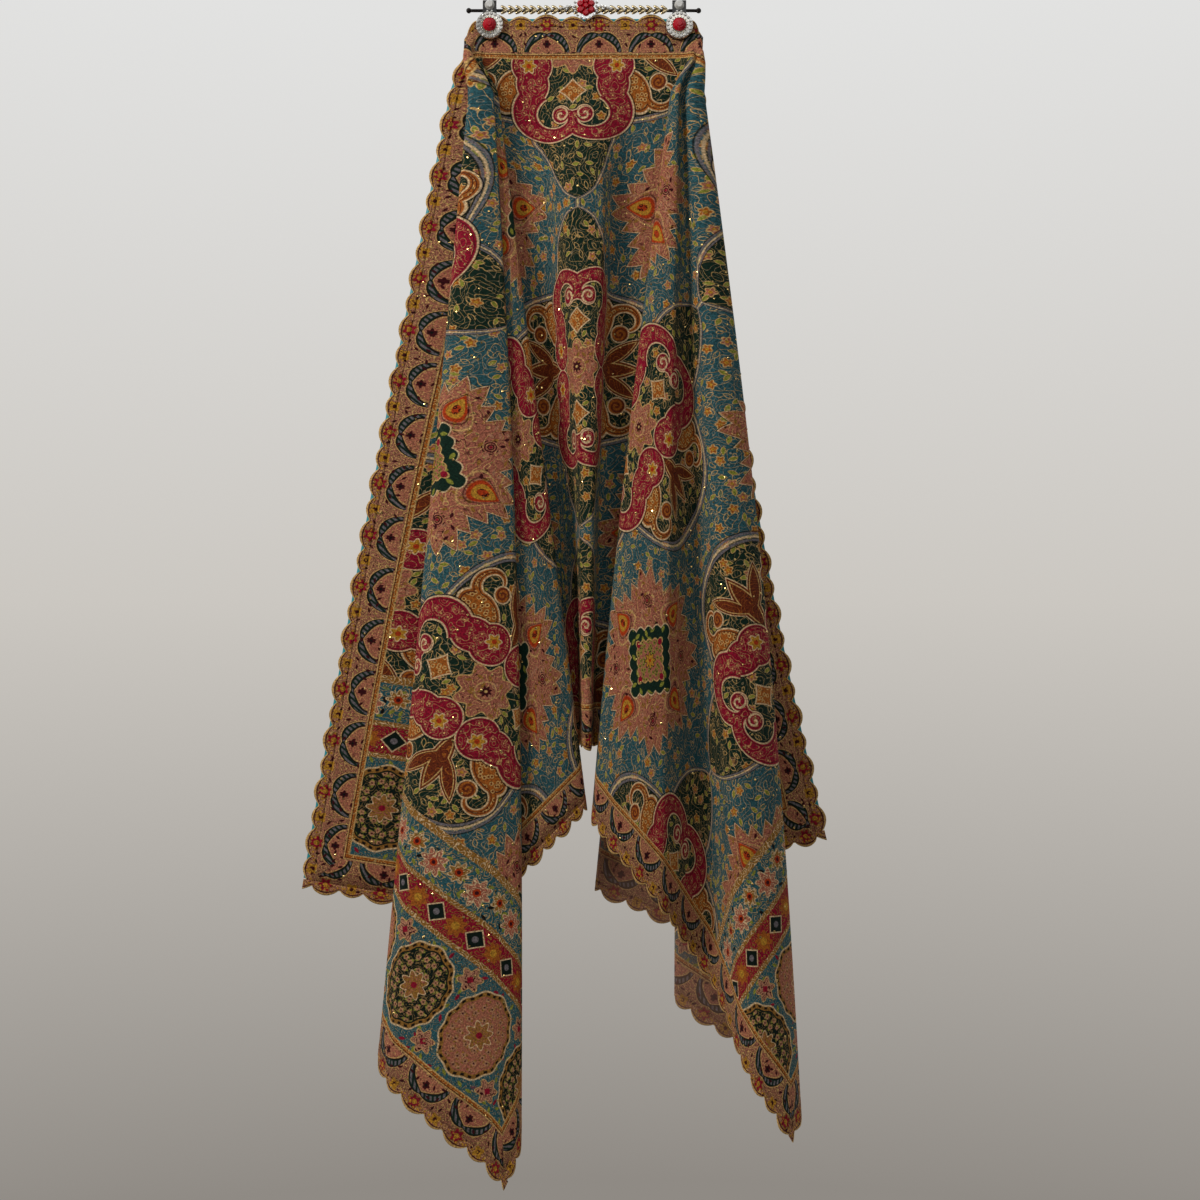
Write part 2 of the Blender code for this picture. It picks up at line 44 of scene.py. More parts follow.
# The cut, in metres, as the frame has it.
cut = {
    "width": 0.928,
    "leftWing": 1.137,
    "rightWing": 1.074,
    "clipHalf": 0.124,
    "clipZ": -0.126,
    "rodZ": -0.105,
    "seam": 0.0003,
}
edge = {
    "repeat": 0.0683,
    "largeWidth": 0.038,
    "largeDepth": 0.016,
    "smallDepth": 0.0135,
    "valleyDepth": 0.005,
}
hang = {"flat": 0.020, "deep": 0.058, "full": 0.095, "edge": 0.056, "lift": 0.30}

# Folds round each clip: angle on the flat cloth, hang outward, stand forward (degrees),
# start and bow outside the clip (millimetres).
leftFolds = [
    # turn, lean, fore, start, bow
    (0, 10.3, 0, 24, 10),
    (3, 7.5, 0.05, 20, 8),
    (6, 4.6, 0.05, 12, 4),
    (11.2, -0.6, 0.1, 2, 0),
    (11.8, -0.95, 0.28, 2, 0),
    (12.4, -0.6, 0.46, 2, 0),
    (17.4, 4, 0.46, 8, 0),
    (18, 4.35, 0.64, 8, 0),
    (18.6, 4, 0.82, 8, 0),
    (23, -0.1, 0.82, 2, 0),
    (23.6, -0.45, 1, 2, 0),
    (24.2, -0.1, 1.18, 2, 0),
    (28.6, 4.4, 1.2, 14, 0),
    (29.6, 5.05, 1.6, 18, 0),
    (30.8, 5.1, 2.6, 18, 0),
    (32.6, 4.3, 3.5, 16, 0),
    (35.4, 1.9, 3.85, 10, -4),
    (38, -0.4, 3.62, 4, -10),
    (40.2, -1.55, 3.28, 0, -16),
    (41.1, -1.78, 3.1, 0, -16),
    (42, -1.72, 2.92, 0, -16),
    (43, -1.3, 2.78, 0, -14),
    (44.2, -0.5, 2.72, 0, -11),
    (49.4, 3.6, 2.72, 8, 0),
    (50, 4, 2.54, 8, 0),
    (50.6, 3.6, 2.36, 8, 0),
    (56, -0.5, 2.36, 0, -6),
    (60, -3.2, 2.65, 0, -4),
    (63.5, -5.6, 2.6, 0, 0),
    (65.8, -7, 2.3, 0, 0),
    (66.8, -7.2, 2, 0, 0),
    (67.8, -6.8, 1.82, 0, 0),
    (78.4, 3.2, 1.82, 6, 0),
    (79, 3.55, 1.65, 6, 0),
    (79.6, 3.2, 1.48, 6, 0),
    (86.5, -0.6, 1.4, 0, 0),
    (90, -2.5, 1.25, 0, 0),
]
rightFolds = [
    # turn, lean, fore, start, bow
    (0, 10.8, 0, 9, -38),
    (4, 7, 0.05, 7, -26),
    (9, 1.6, 0, 3, -8),
    (16, -5.2, 0.05, 0, 0),
    (16.8, -5.7, 0.22, 0, 0),
    (17.6, -5.2, 0.42, 0, 0),
    (26, 2.6, 0.4, 4, 0),
    (26.6, 2.95, 0.58, 4, 0),
    (27.2, 2.6, 0.76, 4, 0),
    (30.4, -0.1, 0.76, 0, 0),
    (31, -0.45, 0.94, 0, 0),
    (31.6, -0.1, 1.12, 0, 0),
    (36.6, 3.9, 1.15, 12, 12),
    (38.4, 5.1, 1.45, 18, 20),
    (39.6, 5.25, 2.2, 20, 20),
    (41.2, 4.55, 3.1, 16, 14),
    (43, 3.6, 3.45, 10, 6),
    (44.6, 3, 3.1, 4, 2),
    (46.6, 2.6, 2.2, 2, 0),
    (49, 1.9, 1.62, 0, 0),
    (51.4, 0.6, 1.72, 0, 0),
    (53.6, -0.4, 2.7, 0, 0),
    (55.6, -1.3, 3.5, 0, 0),
    (58, -2.6, 3.55, 0, -4),
    (61.5, -4.4, 3.1, 0, -10),
    (64.5, -5.6, 2.5, 0, -14),
    (65.7, -5.75, 2.16, 0, -14),
    (66.9, -5.4, 1.96, 0, -14),
    (73.4, -2.2, 1.96, 0, -4),
    (74, -1.9, 1.8, 0, -4),
    (74.6, -2.2, 1.64, 0, -4),
    (80.2, -5.2, 1.64, 0, -10),
    (80.8, -5.5, 1.48, 0, -10),
    (81.4, -5.2, 1.32, 0, -10),
    (87.2, -2.1, 1.32, 0, -2),
    (87.9, -1.75, 1.12, 0, 0),
    (88.7, -2, 0.92, 0, 0),
    (90, -2.7, 0.88, 0, 0),
]
# The tongue between the clips: share of the half gap its shoulders take, by depth.
tongue = [(0.00, 0.50), (0.20, 0.40), (0.36, 0.32), (0.62, 0.17), (0.88, 0.12), (1.00, 0.10)]


def smooth(x, low, high):
    t = min(1.0, max(0.0, (x - low) / (high - low)))
    return t * t * (3 - 2 * t)


def tableAt(rows, x):
    if x <= rows[0][0]:
        return rows[0][1:]
    for a, b in zip(rows, rows[1:]):
        if x <= b[0]:
            t = (x - a[0]) / (b[0] - a[0])
            return tuple(p + (q - p) * t for p, q in zip(a[1:], b[1:]))
    return rows[-1][1:]


foldsSeen = {}


def foldAt(side, turn):
    key = (side, round(turn, 3))
    if key not in foldsSeen:
        rows = leftFolds if side < 0 else rightFolds
        near = [tableAt(rows, turn + step) for step in (-0.3, 0.0, 0.3)]  # rounds each crease
        lean, fore, start, bow = (sum(column) / 3 for column in zip(*near))
        soft = sum(tableAt(rows, turn + 1.5 * step)[1] for step in range(-5, 6)) / 11
        foldsSeen[key] = (lean, fore, start, bow, soft)
    return foldsSeen[key]


def wingPoint(side, along, down):
    r = math.hypot(along, down)
    turn = math.degrees(math.atan2(down, along)) if r > 0 else 0.0
    lean, fore, start, bow, soft = foldAt(side, turn)
    if turn < 0:
        lean -= turn
    fore = soft + (fore - soft) * smooth(r, hang["flat"], hang["full"])
    a = math.radians(lean)
    b = math.radians(fore)
    overlap = hang["edge"] + (hang["full"] - hang["edge"]) * smooth(turn, 0.0, 16.0)
    w = smooth(r, hang["flat"] - 0.008 * (1 - smooth(turn, 0.0, 16.0)), overlap)
    deep = smooth(r, hang["flat"], hang["deep"])
    bowed = 0.001 * bow * math.sin(math.pi * min(1.0, r / 1.5))
    swung = 0.001 * start * smooth(r, 0.0, 0.09) + r * math.sin(a) * math.cos(b) + bowed
    out = w * swung + (1 - w) * along
    drop = w * r * math.cos(a) * math.cos(b) + (1 - w) * down
    front = deep * (r + hang["lift"]) * b
    return Vector((side * (cut["clipHalf"] + out), -front, cut["clipZ"] - drop))


def centreCurve(down):
    left = wingPoint(-1, 0.0, down)
    right = wingPoint(1, 0.0, down)
    (shoulder,) = tableAt(tongue, down)
    middle = (left.x + right.x) / 2
    half = (right.x - left.x) / 2
    leftFoot = 0.004 * smooth(down, 0.0, 0.3)
    rightFoot = (down + hang["lift"]) * math.radians(0.72) * smooth(down, hang["flat"], hang["deep"])
    steps = 80

    def line(height):
        out = []
        for i in range(steps + 1):
            t = 2.0 * i / steps - 1.0
            s = abs(t)
            steep = smooth(s, 0.08, 0.55)
            x = shoulder * (0.55 * min(1.0, s / 0.12) ** 0.8 + 0.45 * steep)
            x = x + (1 - shoulder) * smooth(s, 0.45, 1.0) if s < 1 else 1.0
            x = s + (x - s) * smooth(down, 0.0, 0.30)
            rise = 1 - smooth(s, 0.0, 0.62)
            end = left if t < 0 else right
            foot = leftFoot + (rightFoot - leftFoot) * smooth(t, -0.3, 0.3)
            base = foot + (-end.y - foot) * smooth(s, 0.60, 1.0)
            z = end.z + (left.z + right.z - 2 * end.z) / 2 * (1 - s)
            shift = 0.0045 * (1 - smooth(s, 0.4, 1.0)) * smooth(down, 0.0, 0.7)
            place = middle + shift + half * x * (1 if t > 0 else -1)
            out.append(Vector((place, -(base + height * rise), z)))
        return out

    def reachOf(points):
        reach = [0.0]
        for a, b in zip(points, points[1:]):
            reach.append(reach[-1] + (b - a).length)
        return reach

    low, high = 0.0, 0.16
    for _ in range(12):
        mid = (low + high) / 2
        if reachOf(line(mid))[-1] < 2 * cut["clipHalf"]:
            low = mid
        else:
            high = mid
    points = line(low * smooth(down, 0.0, 0.22))
    return points, reachOf(points)


curves = {}


def centrePoint(u, down):
    key = round(max(0.0, down) / 0.003) * 0.003
    if key not in curves:
        curves[key] = centreCurve(key)
    points, reach = curves[key]
    at = (u + cut["clipHalf"]) / (2 * cut["clipHalf"]) * reach[-1]
    i = 0
    while i < len(reach) - 2 and reach[i + 1] < at:
        i += 1
    t = (at - reach[i]) / max(1e-9, reach[i + 1] - reach[i])
    p = points[i] + (points[i + 1] - points[i]) * t
    return p + Vector((0, 0, key - down))


def drape(u, v):
    if abs(u) <= cut["clipHalf"]:
        p = centrePoint(u, v)
    else:
        p = wingPoint(-1 if u < 0 else 1, abs(u) - cut["clipHalf"], v)
    # soft creases of hung cloth, none of them in the clips
    away = smooth(math.hypot(max(0.0, abs(u) - cut["clipHalf"]), v), 0.05, 0.30)
    if abs(u) <= cut["clipHalf"]:
        away = smooth(v, 0.05, 0.30)
    crease = noise.noise(Vector((u * 21, v * 9, 3.1)))
    crease += 0.5 * noise.noise(Vector((u * 47, v * 33, 8.0)))
    return p + Vector((0.0, 0.0009 * crease * away, 0.0))


# Where the print lies between the clips, as its folds show it: cut place, print place.
centrePrint = [
    (-0.124, -0.187),
    (-0.093, -0.155),
    (-0.060, -0.111),
    (-0.042, -0.060),
    (-0.027, -0.036),
    (-0.007, -0.015),
    (0.014, 0.008),
    (0.028, 0.034),
    (0.042, 0.078),
    (0.0925, 0.125),
    (0.124, 0.157),
]
printSlip = {"left": -6.0, "right": -5.0, "leftPull": 0.063, "rightPull": 0.033}


def printPlace(u, v):
    k = smooth(v, 0.14, 0.23)
    if abs(u) <= cut["clipHalf"]:
        (moved,) = tableAt(centrePrint, u)
        return u + (moved - u) * k, v
    side = -1 if u < 0 else 1
    name = "left" if side < 0 else "right"
    along = abs(u) - cut["clipHalf"]
    r = math.hypot(along, v)
    turn = math.degrees(math.atan2(v, along))
    start, end = (12, 28) if side < 0 else (20, 36)
    a = math.radians(turn + printSlip[name] * smooth(turn, start, end))
    wide = r * math.cos(a)
    deep = r * math.sin(a)
    back = smooth(turn, 52, 90)
    wide += (along + printSlip[name + "Pull"] * k - wide) * back
    deep += (v - deep) * back
    return side * (cut["clipHalf"] + wide), deep


def scallop(s):
    t = s % edge["repeat"]
    small = edge["repeat"] - edge["largeWidth"]
    if t < edge["largeWidth"]:
        f, deep = t / edge["largeWidth"], edge["largeDepth"]
    else:
        f, deep = (t - edge["largeWidth"]) / small, edge["smallDepth"]
    swell = math.sin(math.pi * f) ** 0.7
    return edge["valleyDepth"] + (deep - edge["valleyDepth"]) * swell


class Wire:
    # a socket that sums can be written with
    def __init__(self, tree, socket=None):
        self.tree = tree
        self.socket = socket

    def node(self, kind, settings=None, values=None, out=0):
        made = self.tree.nodes.new(kind)
        for name, value in (settings or {}).items():
            if name == "stops":
                ramp = made.color_ramp
                while len(ramp.elements) < len(value):
                    ramp.elements.new(0.5)
                for element, (place, colour) in zip(ramp.elements, value):
                    element.position = place
                    element.color = colour
            else:
                setattr(made, name, value)
        for name, value in (values or {}).items():
            if isinstance(value, Wire):
                self.tree.links.new(value.socket, made.inputs[name])
            else:
                made.inputs[name].default_value = value
        return Wire(self.tree, made.outputs[out])

    def sum(self, operation, *terms, clamp=False):
        settings = {} if operation == "ADD" else {"operation": operation}
        if clamp:
            settings["use_clamp"] = True
        return self.node("ShaderNodeMath", settings, dict(enumerate(terms)))

    def __add__(self, other):
        return self.sum("ADD", self, other)

    __radd__ = __add__

    def __sub__(self, other):
        return self.sum("SUBTRACT", self, other)

    def __rsub__(self, other):
        return self.sum("SUBTRACT", other, self)

    def __mul__(self, other):
        return self.sum("MULTIPLY", self, other)

    __rmul__ = __mul__

    def __truediv__(self, other):
        return self.sum("DIVIDE", self, other)

    def __pow__(self, other):
        return self.sum("POWER", self, other)

    def __abs__(self):
        return self.sum("ABSOLUTE", self)

    def least(self, other):
        return self.sum("MINIMUM", self, other)

    def most(self, other):
        return self.sum("MAXIMUM", self, other)

    def wave(self):
        return self.sum("COSINE", self)

    def inside(self, soft=0.9):
        return self.sum("MULTIPLY_ADD", self, 1 / soft, 0.5, clamp=True)

    def below(self, limit, soft=0.9):
        return self.sum("MULTIPLY_ADD", self, -1 / soft, 0.5 + limit / soft, clamp=True)

    def band(self, centre, half, soft=0.8):
        return abs(self - centre).below(half, soft)

    def wrap(self, size):
        return self.sum("FLOORED_MODULO", self, size)

    def fold(self, size):
        # 0 on the axis, half of size midway to the next one
        return self.sum("PINGPONG", self, size / 2)

    def root(self):
        return self.sum("SQRT", self)

    def blend(self, share, first, second):
        return self.node("ShaderNodeMix", {"data_type": "RGBA"}, {0: share, 6: first, 7: second}, 2)

    def over(self, mask, dye):
        # a dye, or a worked colour, laid over this one where the mask is 1
        return self.blend(mask, self, dyes[dye] if isinstance(dye, str) else dye)

    def layers(self, *laid):
        colour = self
        for mask, dye in laid:
            colour = colour.over(mask, dye)
        return colour

    def into(self, socket):
        self.tree.links.new(self.socket, socket)

    def parts(self):
        made = self.tree.nodes.new("ShaderNodeSeparateXYZ")
        self.tree.links.new(self.socket, made.inputs[0])
        return [Wire(self.tree, socket) for socket in made.outputs]

    def vector(self, x, y):
        return self.node("ShaderNodeCombineXYZ", None, {0: x, 1: y})


def paint(code):
    # linear colour of a dye, from its screen code
    values = [int(code[i:i + 2], 16) / 255 for i in (0, 2, 4)]
    return tuple(x / 12.92 if x < 0.04045 else ((x + 0.055) / 1.055) ** 2.4 for x in values) + (1,)


dyes = {
    "teal": paint("2e5a62"),
    "tealDark": paint("1c3d46"),
    "green": paint("0d281d"),
    "greenDark": paint("071811"),
    "rose": paint("a6644f"),
    "roseLight": paint("a06a52"),
    "crimson": paint("8c0e2a"),
    "wine": paint("3c0810"),
    "orange": paint("a25a1e"),
    "rust": paint("6a2c12"),
    "ochre": paint("94692e"),
    "gold": paint("c8a264"),
    "cream": paint("d4b68c"),
    "lilac": paint("6e686c"),
    "lime": paint("888a34"),
    "yellow": paint("b8852a"),
    "flame": paint("ac3810"),
    "ink": paint("0e0a08"),
    "peach": paint("b07c60"),
    "turquoise": paint("1c929c"),
    "faded": paint("8c6c60"),
}


def away(a, b):
    return (a * a + b * b).root()


def ring(a, b, x, y):
    return away(a - x, b - y)


def scatter(net, place, size, salt):
    # one point a cell: local x and y, and two random numbers
    shifted = net.node("ShaderNodeVectorMath", {"operation": "ADD"}, {0: place, 1: (salt, salt * 2, 0)})
    settings = {"voronoi_dimensions": "2D", "feature": "F1"}
    values = {"Vector": shifted, "Scale": 1 / size, "Randomness": 0.75}
    cell = net.node("ShaderNodeTexVoronoi", settings, values, 1)
    made = cell.socket.node
    local = net.node(
        "ShaderNodeVectorMath",
        {"operation": "SUBTRACT"},
        {0: shifted, 1: Wire(net.tree, made.outputs["Position"])},
    )
    x, y, _ = local.parts()
    red = net.node("ShaderNodeSeparateColor", None, {0: cell})
    second = Wire(net.tree, red.socket.node.outputs[1])
    return x, y, red, second


def flower(net, x, y, reach, petals, turn=0.0):
    r = away(x, y)
    angle = net.sum("ARCTAN2", y, x)
    lobe = (angle * petals + turn).wave()
    return lobe * (reach * 0.22) + reach - r, r


def leaf(net, x, y, spin, length, width):
    c, s = spin.wave(), net.sum("SINE", spin)
    lx = (x * c + y * s) / length
    ly = (y * c - x * s) / width
    return 1 - lx * lx - abs(ly)


def vines(net, place, size, levels, half, salt):
    # lines of equal height wander and curl as stems do
    shifted = net.node("ShaderNodeVectorMath", {"operation": "ADD"}, {0: place, 1: (salt, -salt, 0)})
    settings = {"noise_dimensions": "2D"}
    values = {"Vector": shifted, "Scale": 1 / size, "Detail": 0.7, "Roughness": 0.45}
    n = net.node("ShaderNodeTexNoise", settings, values)
    return (n * levels).fold(1.0).below(half, 0.05)


def spiral(net, a, b, x, y, start, rate, wide, thin, seam):
    # a band that winds in round (x, y); seam is the angle where its inner turn begins
    dx, dy = a - x, b - y
    r = away(dx, dy)
    angle = net.sum("ARCTAN2", dy, dx) * 57.2958
    angle = angle + angle.below(seam, 0.01) * 360
    middle = start - angle * rate
    half = wide - angle * thin
    return half - abs(r - middle)


# The field's motifs in millimetres on the cut, measured from the axes of one repeat.
field = {
    "repeat": 425.0,
    "axisAcross": -15.0,
    "axisDown": 27.0,
    "cartoucheWide": 175,
    "cartoucheTall": 101,
    "vaseMiddle": 117,
    "vaseTall": 90,
    "vaseWide": 59,
    "starReach": 31,
    "burstReach": 96,
    "squareHalf": 39,
}


def fieldPrint(net, u, v):
    a = (u - field["axisAcross"]).fold(field["repeat"])
    b = (v - field["axisDown"]).fold(field["repeat"])

    # wandering stems, leaves and small flowers, which aren't mirrored
    wild = net.vector(u, v)
    stems = vines(net, wild, 30, 9, 0.030, 3.0)
    fine = vines(net, wild, 17, 6, 0.045, 40.0)
    lx, ly, one, two = scatter(net, wild, 13, 11.0)
    leafShape = leaf(net, lx, ly, one * 12.566, 5.6, 2.6)
    leaves = leafShape.inside(0.4)
    leafLine = abs(leafShape).below(0.16, 0.2)
    fx, fy, three, four = scatter(net, wild, 29, 70.0)
    blossom, middle = flower(net, fx, fy, 5.2, 5, three * 6.283)
    kept = four.below(0.72, 0.02)
    bloom = blossom.inside() * kept
    heart = middle.below(2.2) * kept
    bloomEdge = abs(blossom).below(0.7) * kept
    goldWork = vines(net, wild, 19, 7, 0.060, 90.0)
    darkWork = vines(net, wild, 16, 6, 0.035, 60.0)
    buds, budsTwo, budOne, budTwo = scatter(net, wild, 9, 160.0)
    bud = leaf(net, buds, budsTwo, budOne * 12.566, 4.2, 1.9).inside(0.4)

    # teal ground
    colour = net.blend(two, dyes["teal"], dyes["tealDark"]).over(0.7, "teal")

    # deep green cartouche round each star, and the vase that stands on it
    wide, tall = a / field["cartoucheWide"], b / field["cartoucheTall"]
    cartouche = (1 - (wide ** 3.2 + tall ** 3.2) ** 0.3125) * field["cartoucheTall"]
    t = (b - field["vaseMiddle"]) / field["vaseTall"]
    vase = (1 - (t * t).least(1.0)) ** 0.7 * field["vaseWide"] - a
    vase = vase.least(b - 60)
    dark = cartouche.most(vase)
    green = dark.inside()
    colour = colour.over(green, "green")

    sprig = colour.over(stems, "gold")
    sprig = sprig.over(leaves * two.below(0.34, 0.02), "lime")
    sprig = sprig.over(leafLine * two.below(0.62, 0.02), "gold")
    warm = net.blend(four.below(0.34, 0.02), dyes["rose"], dyes["orange"])
    sprig = sprig.layers(
        (bloom, warm),
        (bloomEdge, "gold"),
        (heart, "yellow"),
    )
    colour = sprig.over(fine * 0.35, "cream")
    rim = abs(dark)
    colour = colour.layers(
        (abs(rim - 2.6).below(0.9), "lilac"),
        (rim.below(0.8), "cream"),
        (rim.band(4.1, 0.4), "ink"),
    )

    # orange paisley and the lotus between each pair
    tilt = math.radians(28)
    px, py = a - 83, b - 60
    ox = px * math.cos(tilt) - py * math.sin(tilt)
    oy = px * math.sin(tilt) + py * math.cos(tilt)
    body = (1 - away(ox / 20, oy / 31)) * 20
    tail = spiral(net, a, b, 121, 61, 14.5, -0.055, 3.4, -0.019, -400.0)
    amber = body.most(tail)
    colour = colour.over(amber.inside(), "orange")
    specks, specksTwo = scatter(net, wild, 7.0, 23.0)[:2]
    speckle = away(specks, specksTwo)
    inAmber = (amber - 3.5).inside()
    colour = colour.layers(
        (inAmber * speckle.band(2.0, 0.55, 0.5), "gold"),
        (inAmber * speckle.below(1.0), "rust"),
        (abs(amber - 3.2).below(0.5) * amber.inside(), "wine"),
        (abs(amber).below(0.9), "cream"),
        (amber.band(-1.8, 0.5), "ink"),
    )

    petalOne = leaf(net, a - 100, b, a * 0.0, 44, 13)
    petalTwo = leaf(net, a - 112, b - 20, a * 0.0 + 0.62, 34, 10)
    lotus = petalOne.most(petalTwo)
    colour = colour.layers(
        (lotus.inside(0.08), "rust"),
        (lotus.inside(0.08) * goldWork, "orange"),
        (lotus.inside(0.08) * darkWork, "wine"),
        (abs(lotus - 0.3).below(0.06, 0.05), "gold"),
        (abs(lotus).below(0.05, 0.05), "cream"),
    )
    curl = ring(a, b, 114, 47)
    colour = colour.over(curl.below(11), "rust")
    swirl = (curl * 1.1 + net.sum("ARCTAN2", b - 47, a - 114)).wave()
    colour = colour.over(curl.below(11) * swirl.inside(0.8), "orange")
    colour = colour.over(abs(curl - 11).below(0.9), "cream")

    # crimson paisley: its head, then the tail that winds in
    head = (1 - away((a - 54) / 27, (b - 25) / 25.5)) * 26
    squeezed = (a - 18) * 0.72 + 18
    sweep = spiral(net, squeezed, b, 18, 95, 34.0, 0.118, 12.0, 0.030, -62.0)
    curled = ring(a, b, 16, 92)
    sweep = sweep.most(12 - curled)
    neck = (1 - away((a - 54) / 22, (b - 50) / 26)) * 22
    red = head.most(sweep).most(neck)
    colour = colour.over(red.inside(), "crimson")
    colour = colour.over(abs(red - 3.0).below(0.35), "wine")
    dots, dotsTwo, dotOne, dotTwo = scatter(net, wild, 12, 51.0)
    petal, petalR = flower(net, dots, dotsTwo, 3.4, 5, dotOne * 6.283)
    inRed = (red - 3.4).inside()
    colour = colour.layers(
        (inRed * abs(petal).below(0.5), "rose"),
        (inRed * fine * 0.8, "gold"),
        (inRed * petalR.below(1.2), "gold"),
    )
    wound = (curled * 0.75 - net.sum("ARCTAN2", b - 92, a - 16)).wave()
    colour = colour.over(curled.below(10.5) * wound.band(-0.9, 0.35, 0.3), "cream")
    big, bigR = flower(net, a - 58, b - 25, 8.5, 6)
    colour = colour.layers(
        (big.inside(), "yellow"),
        (abs(big).below(0.8), "cream"),
        (bigR.below(3.2), "flame"),
        (abs(red).below(0.8), "cream"),
        (red.band(-1.7, 0.5), "ink"),
    )

    # star and diamond on the axis
    star = away(a, b)
    points = (net.sum("ARCTAN2", b, a) * 8).wave()
    starShape = points * 5.0 + field["starReach"] - star
    colour = colour.over(starShape.inside(), "rose")
    inStar = (starShape - 2).inside()
    colour = colour.layers(
        (inStar * goldWork, "gold"),
        (inStar * darkWork, "wine"),
        (inStar * bud * budTwo.below(0.40, 0.02), "ochre"),
        (inStar * bud * budTwo.band(0.52, 0.10, 0.02), "peach"),
        (abs(starShape).below(0.9), "gold"),
        (star.band(12, 0.6), "gold"),
    )
    starHeart, starHeartR = flower(net, a, b, 6.0, 8)
    colour = colour.over(starHeart.inside(), "wine")
    colour = colour.over(starHeartR.below(1.8), "gold")
    kite = 1 - ((a / 18.5) ** 0.85 + (abs(b - 60) / 17) ** 0.85)
    colour = colour.layers(
        (kite.inside(0.08), "orange"),
        ((kite - 0.15).inside(0.1) * speckle.band(2.0, 0.6), "gold"),
        (abs(kite).below(0.07, 0.06), "cream"),
    )

    # starburst medallion, folded once more on its diagonal
    m, n = field["repeat"] / 2 - a, field["repeat"] / 2 - b
    p, q = m.most(n), m.least(n)
    r = away(m, n)
    angle = net.sum("ARCTAN2", q, p)
    lobes = (angle * 8).wave()
    teeth = (angle * (32 / 6.2832)).fold(1.0)
    burst = lobes * 10 + teeth * 36 + field["burstReach"] - r
    inBurst = burst.inside()
    colour = colour.layers(
        (inBurst, "rose"),
        (inBurst * darkWork, "wine"),
        (inBurst * goldWork, "gold"),
        (inBurst * bud * budTwo.below(0.30, 0.02), "ochre"),
        (inBurst * bud * budTwo.band(0.42, 0.10, 0.02), "peach"),
        (inBurst * bud * budTwo.band(0.60, 0.04, 0.02), "wine"),
        (abs(burst - 4.5).below(0.6), "ochre"),
        (abs(burst).below(0.8), "cream"),
        (burst.band(-1.8, 0.5), "ink"),
    )
    # flames on its axes, their tips outward
    fx = p - 80
    drop = 1 - away(q / (12.0 - fx * 0.48), fx / 18)
    petalLine = abs(drop + 0.50).below(0.05, 0.1)
    colour = colour.layers(
        (petalLine * inBurst, "gold"),
        (abs(drop + 0.14).below(0.04, 0.1), "wine"),
        (drop.inside(0.07), "flame"),
        ((drop - 0.26).inside(0.07), "yellow"),
    )
    core = 1 - away(q / 4.6, (p - 78) / 6.5)
    colour = colour.over(core.inside(0.2), "flame")
    colour = colour.over(core.inside(0.2) * speckle.band(1.6, 0.7, 0.5), "ink")
    # dark red rosettes between them
    shape, shapeR = flower(net, p - 54, q - 54, 8.5, 6)
    petals = shape.inside() * (shapeR * 2.1).wave().inside(0.9)
    colour = colour.over(petals, "wine")
    colour = colour.over(shapeR.below(1.9), "crimson")
    # scalloped square, its corners toward the flames
    side = (p + q) * 0.7071
    cross = (p - q) * 0.7071
    bumps = abs((cross * (3.1416 / 17.0)).wave()) * 5.0
    square = bumps + field["squareHalf"] - side
    colour = colour.layers(
        (square.inside(), "green"),
        (abs(square).below(0.9), "cream"),
        ((square - 2).inside() * leaves * two.below(0.55, 0.02), "lime"),
    )
    inner = 24 - side + abs((cross * (3.1416 / 12.0)).wave()) * 3.0
    colour = colour.layers(
        (inner.inside(), "rose"),
        (inner.inside() * speckle.band(2.0, 0.7, 0.5), "lime"),
        (inner.inside() * speckle.below(1.0), "ink"),
        (abs(inner).below(0.8), "gold"),
        (ring(p, q, 31, 0).below(4.2), "crimson"),
    )
    centre, centreR = flower(net, m, n, 9, 8)
    colour = colour.layers(
        (centre.inside(), "yellow"),
        (abs(centre).below(0.8), "ink"),
        (centreR.below(2.4), "flame"),
    )
    return colour


# Bands across the ends and the border, in millimetres in from the cut's edge.
bands = {
    "start": 282,
    "rosettes": 247,
    "red": 198,
    "redHalf": 19,
    "cartouches": 109,
    "cartoucheZone": 176,
    "cartouchePitch": 102.0,
    "cartoucheWide": 46,
    "cartoucheTall": 56,
    "firstCartouche": 20,
}
border = {
    "width": 43,
    "shift": 19,
    "arches": 34,
    "archWide": 28,
    "archTall": 23,
    "gold": 39.5,
    "goldHalf": 3.2,
}


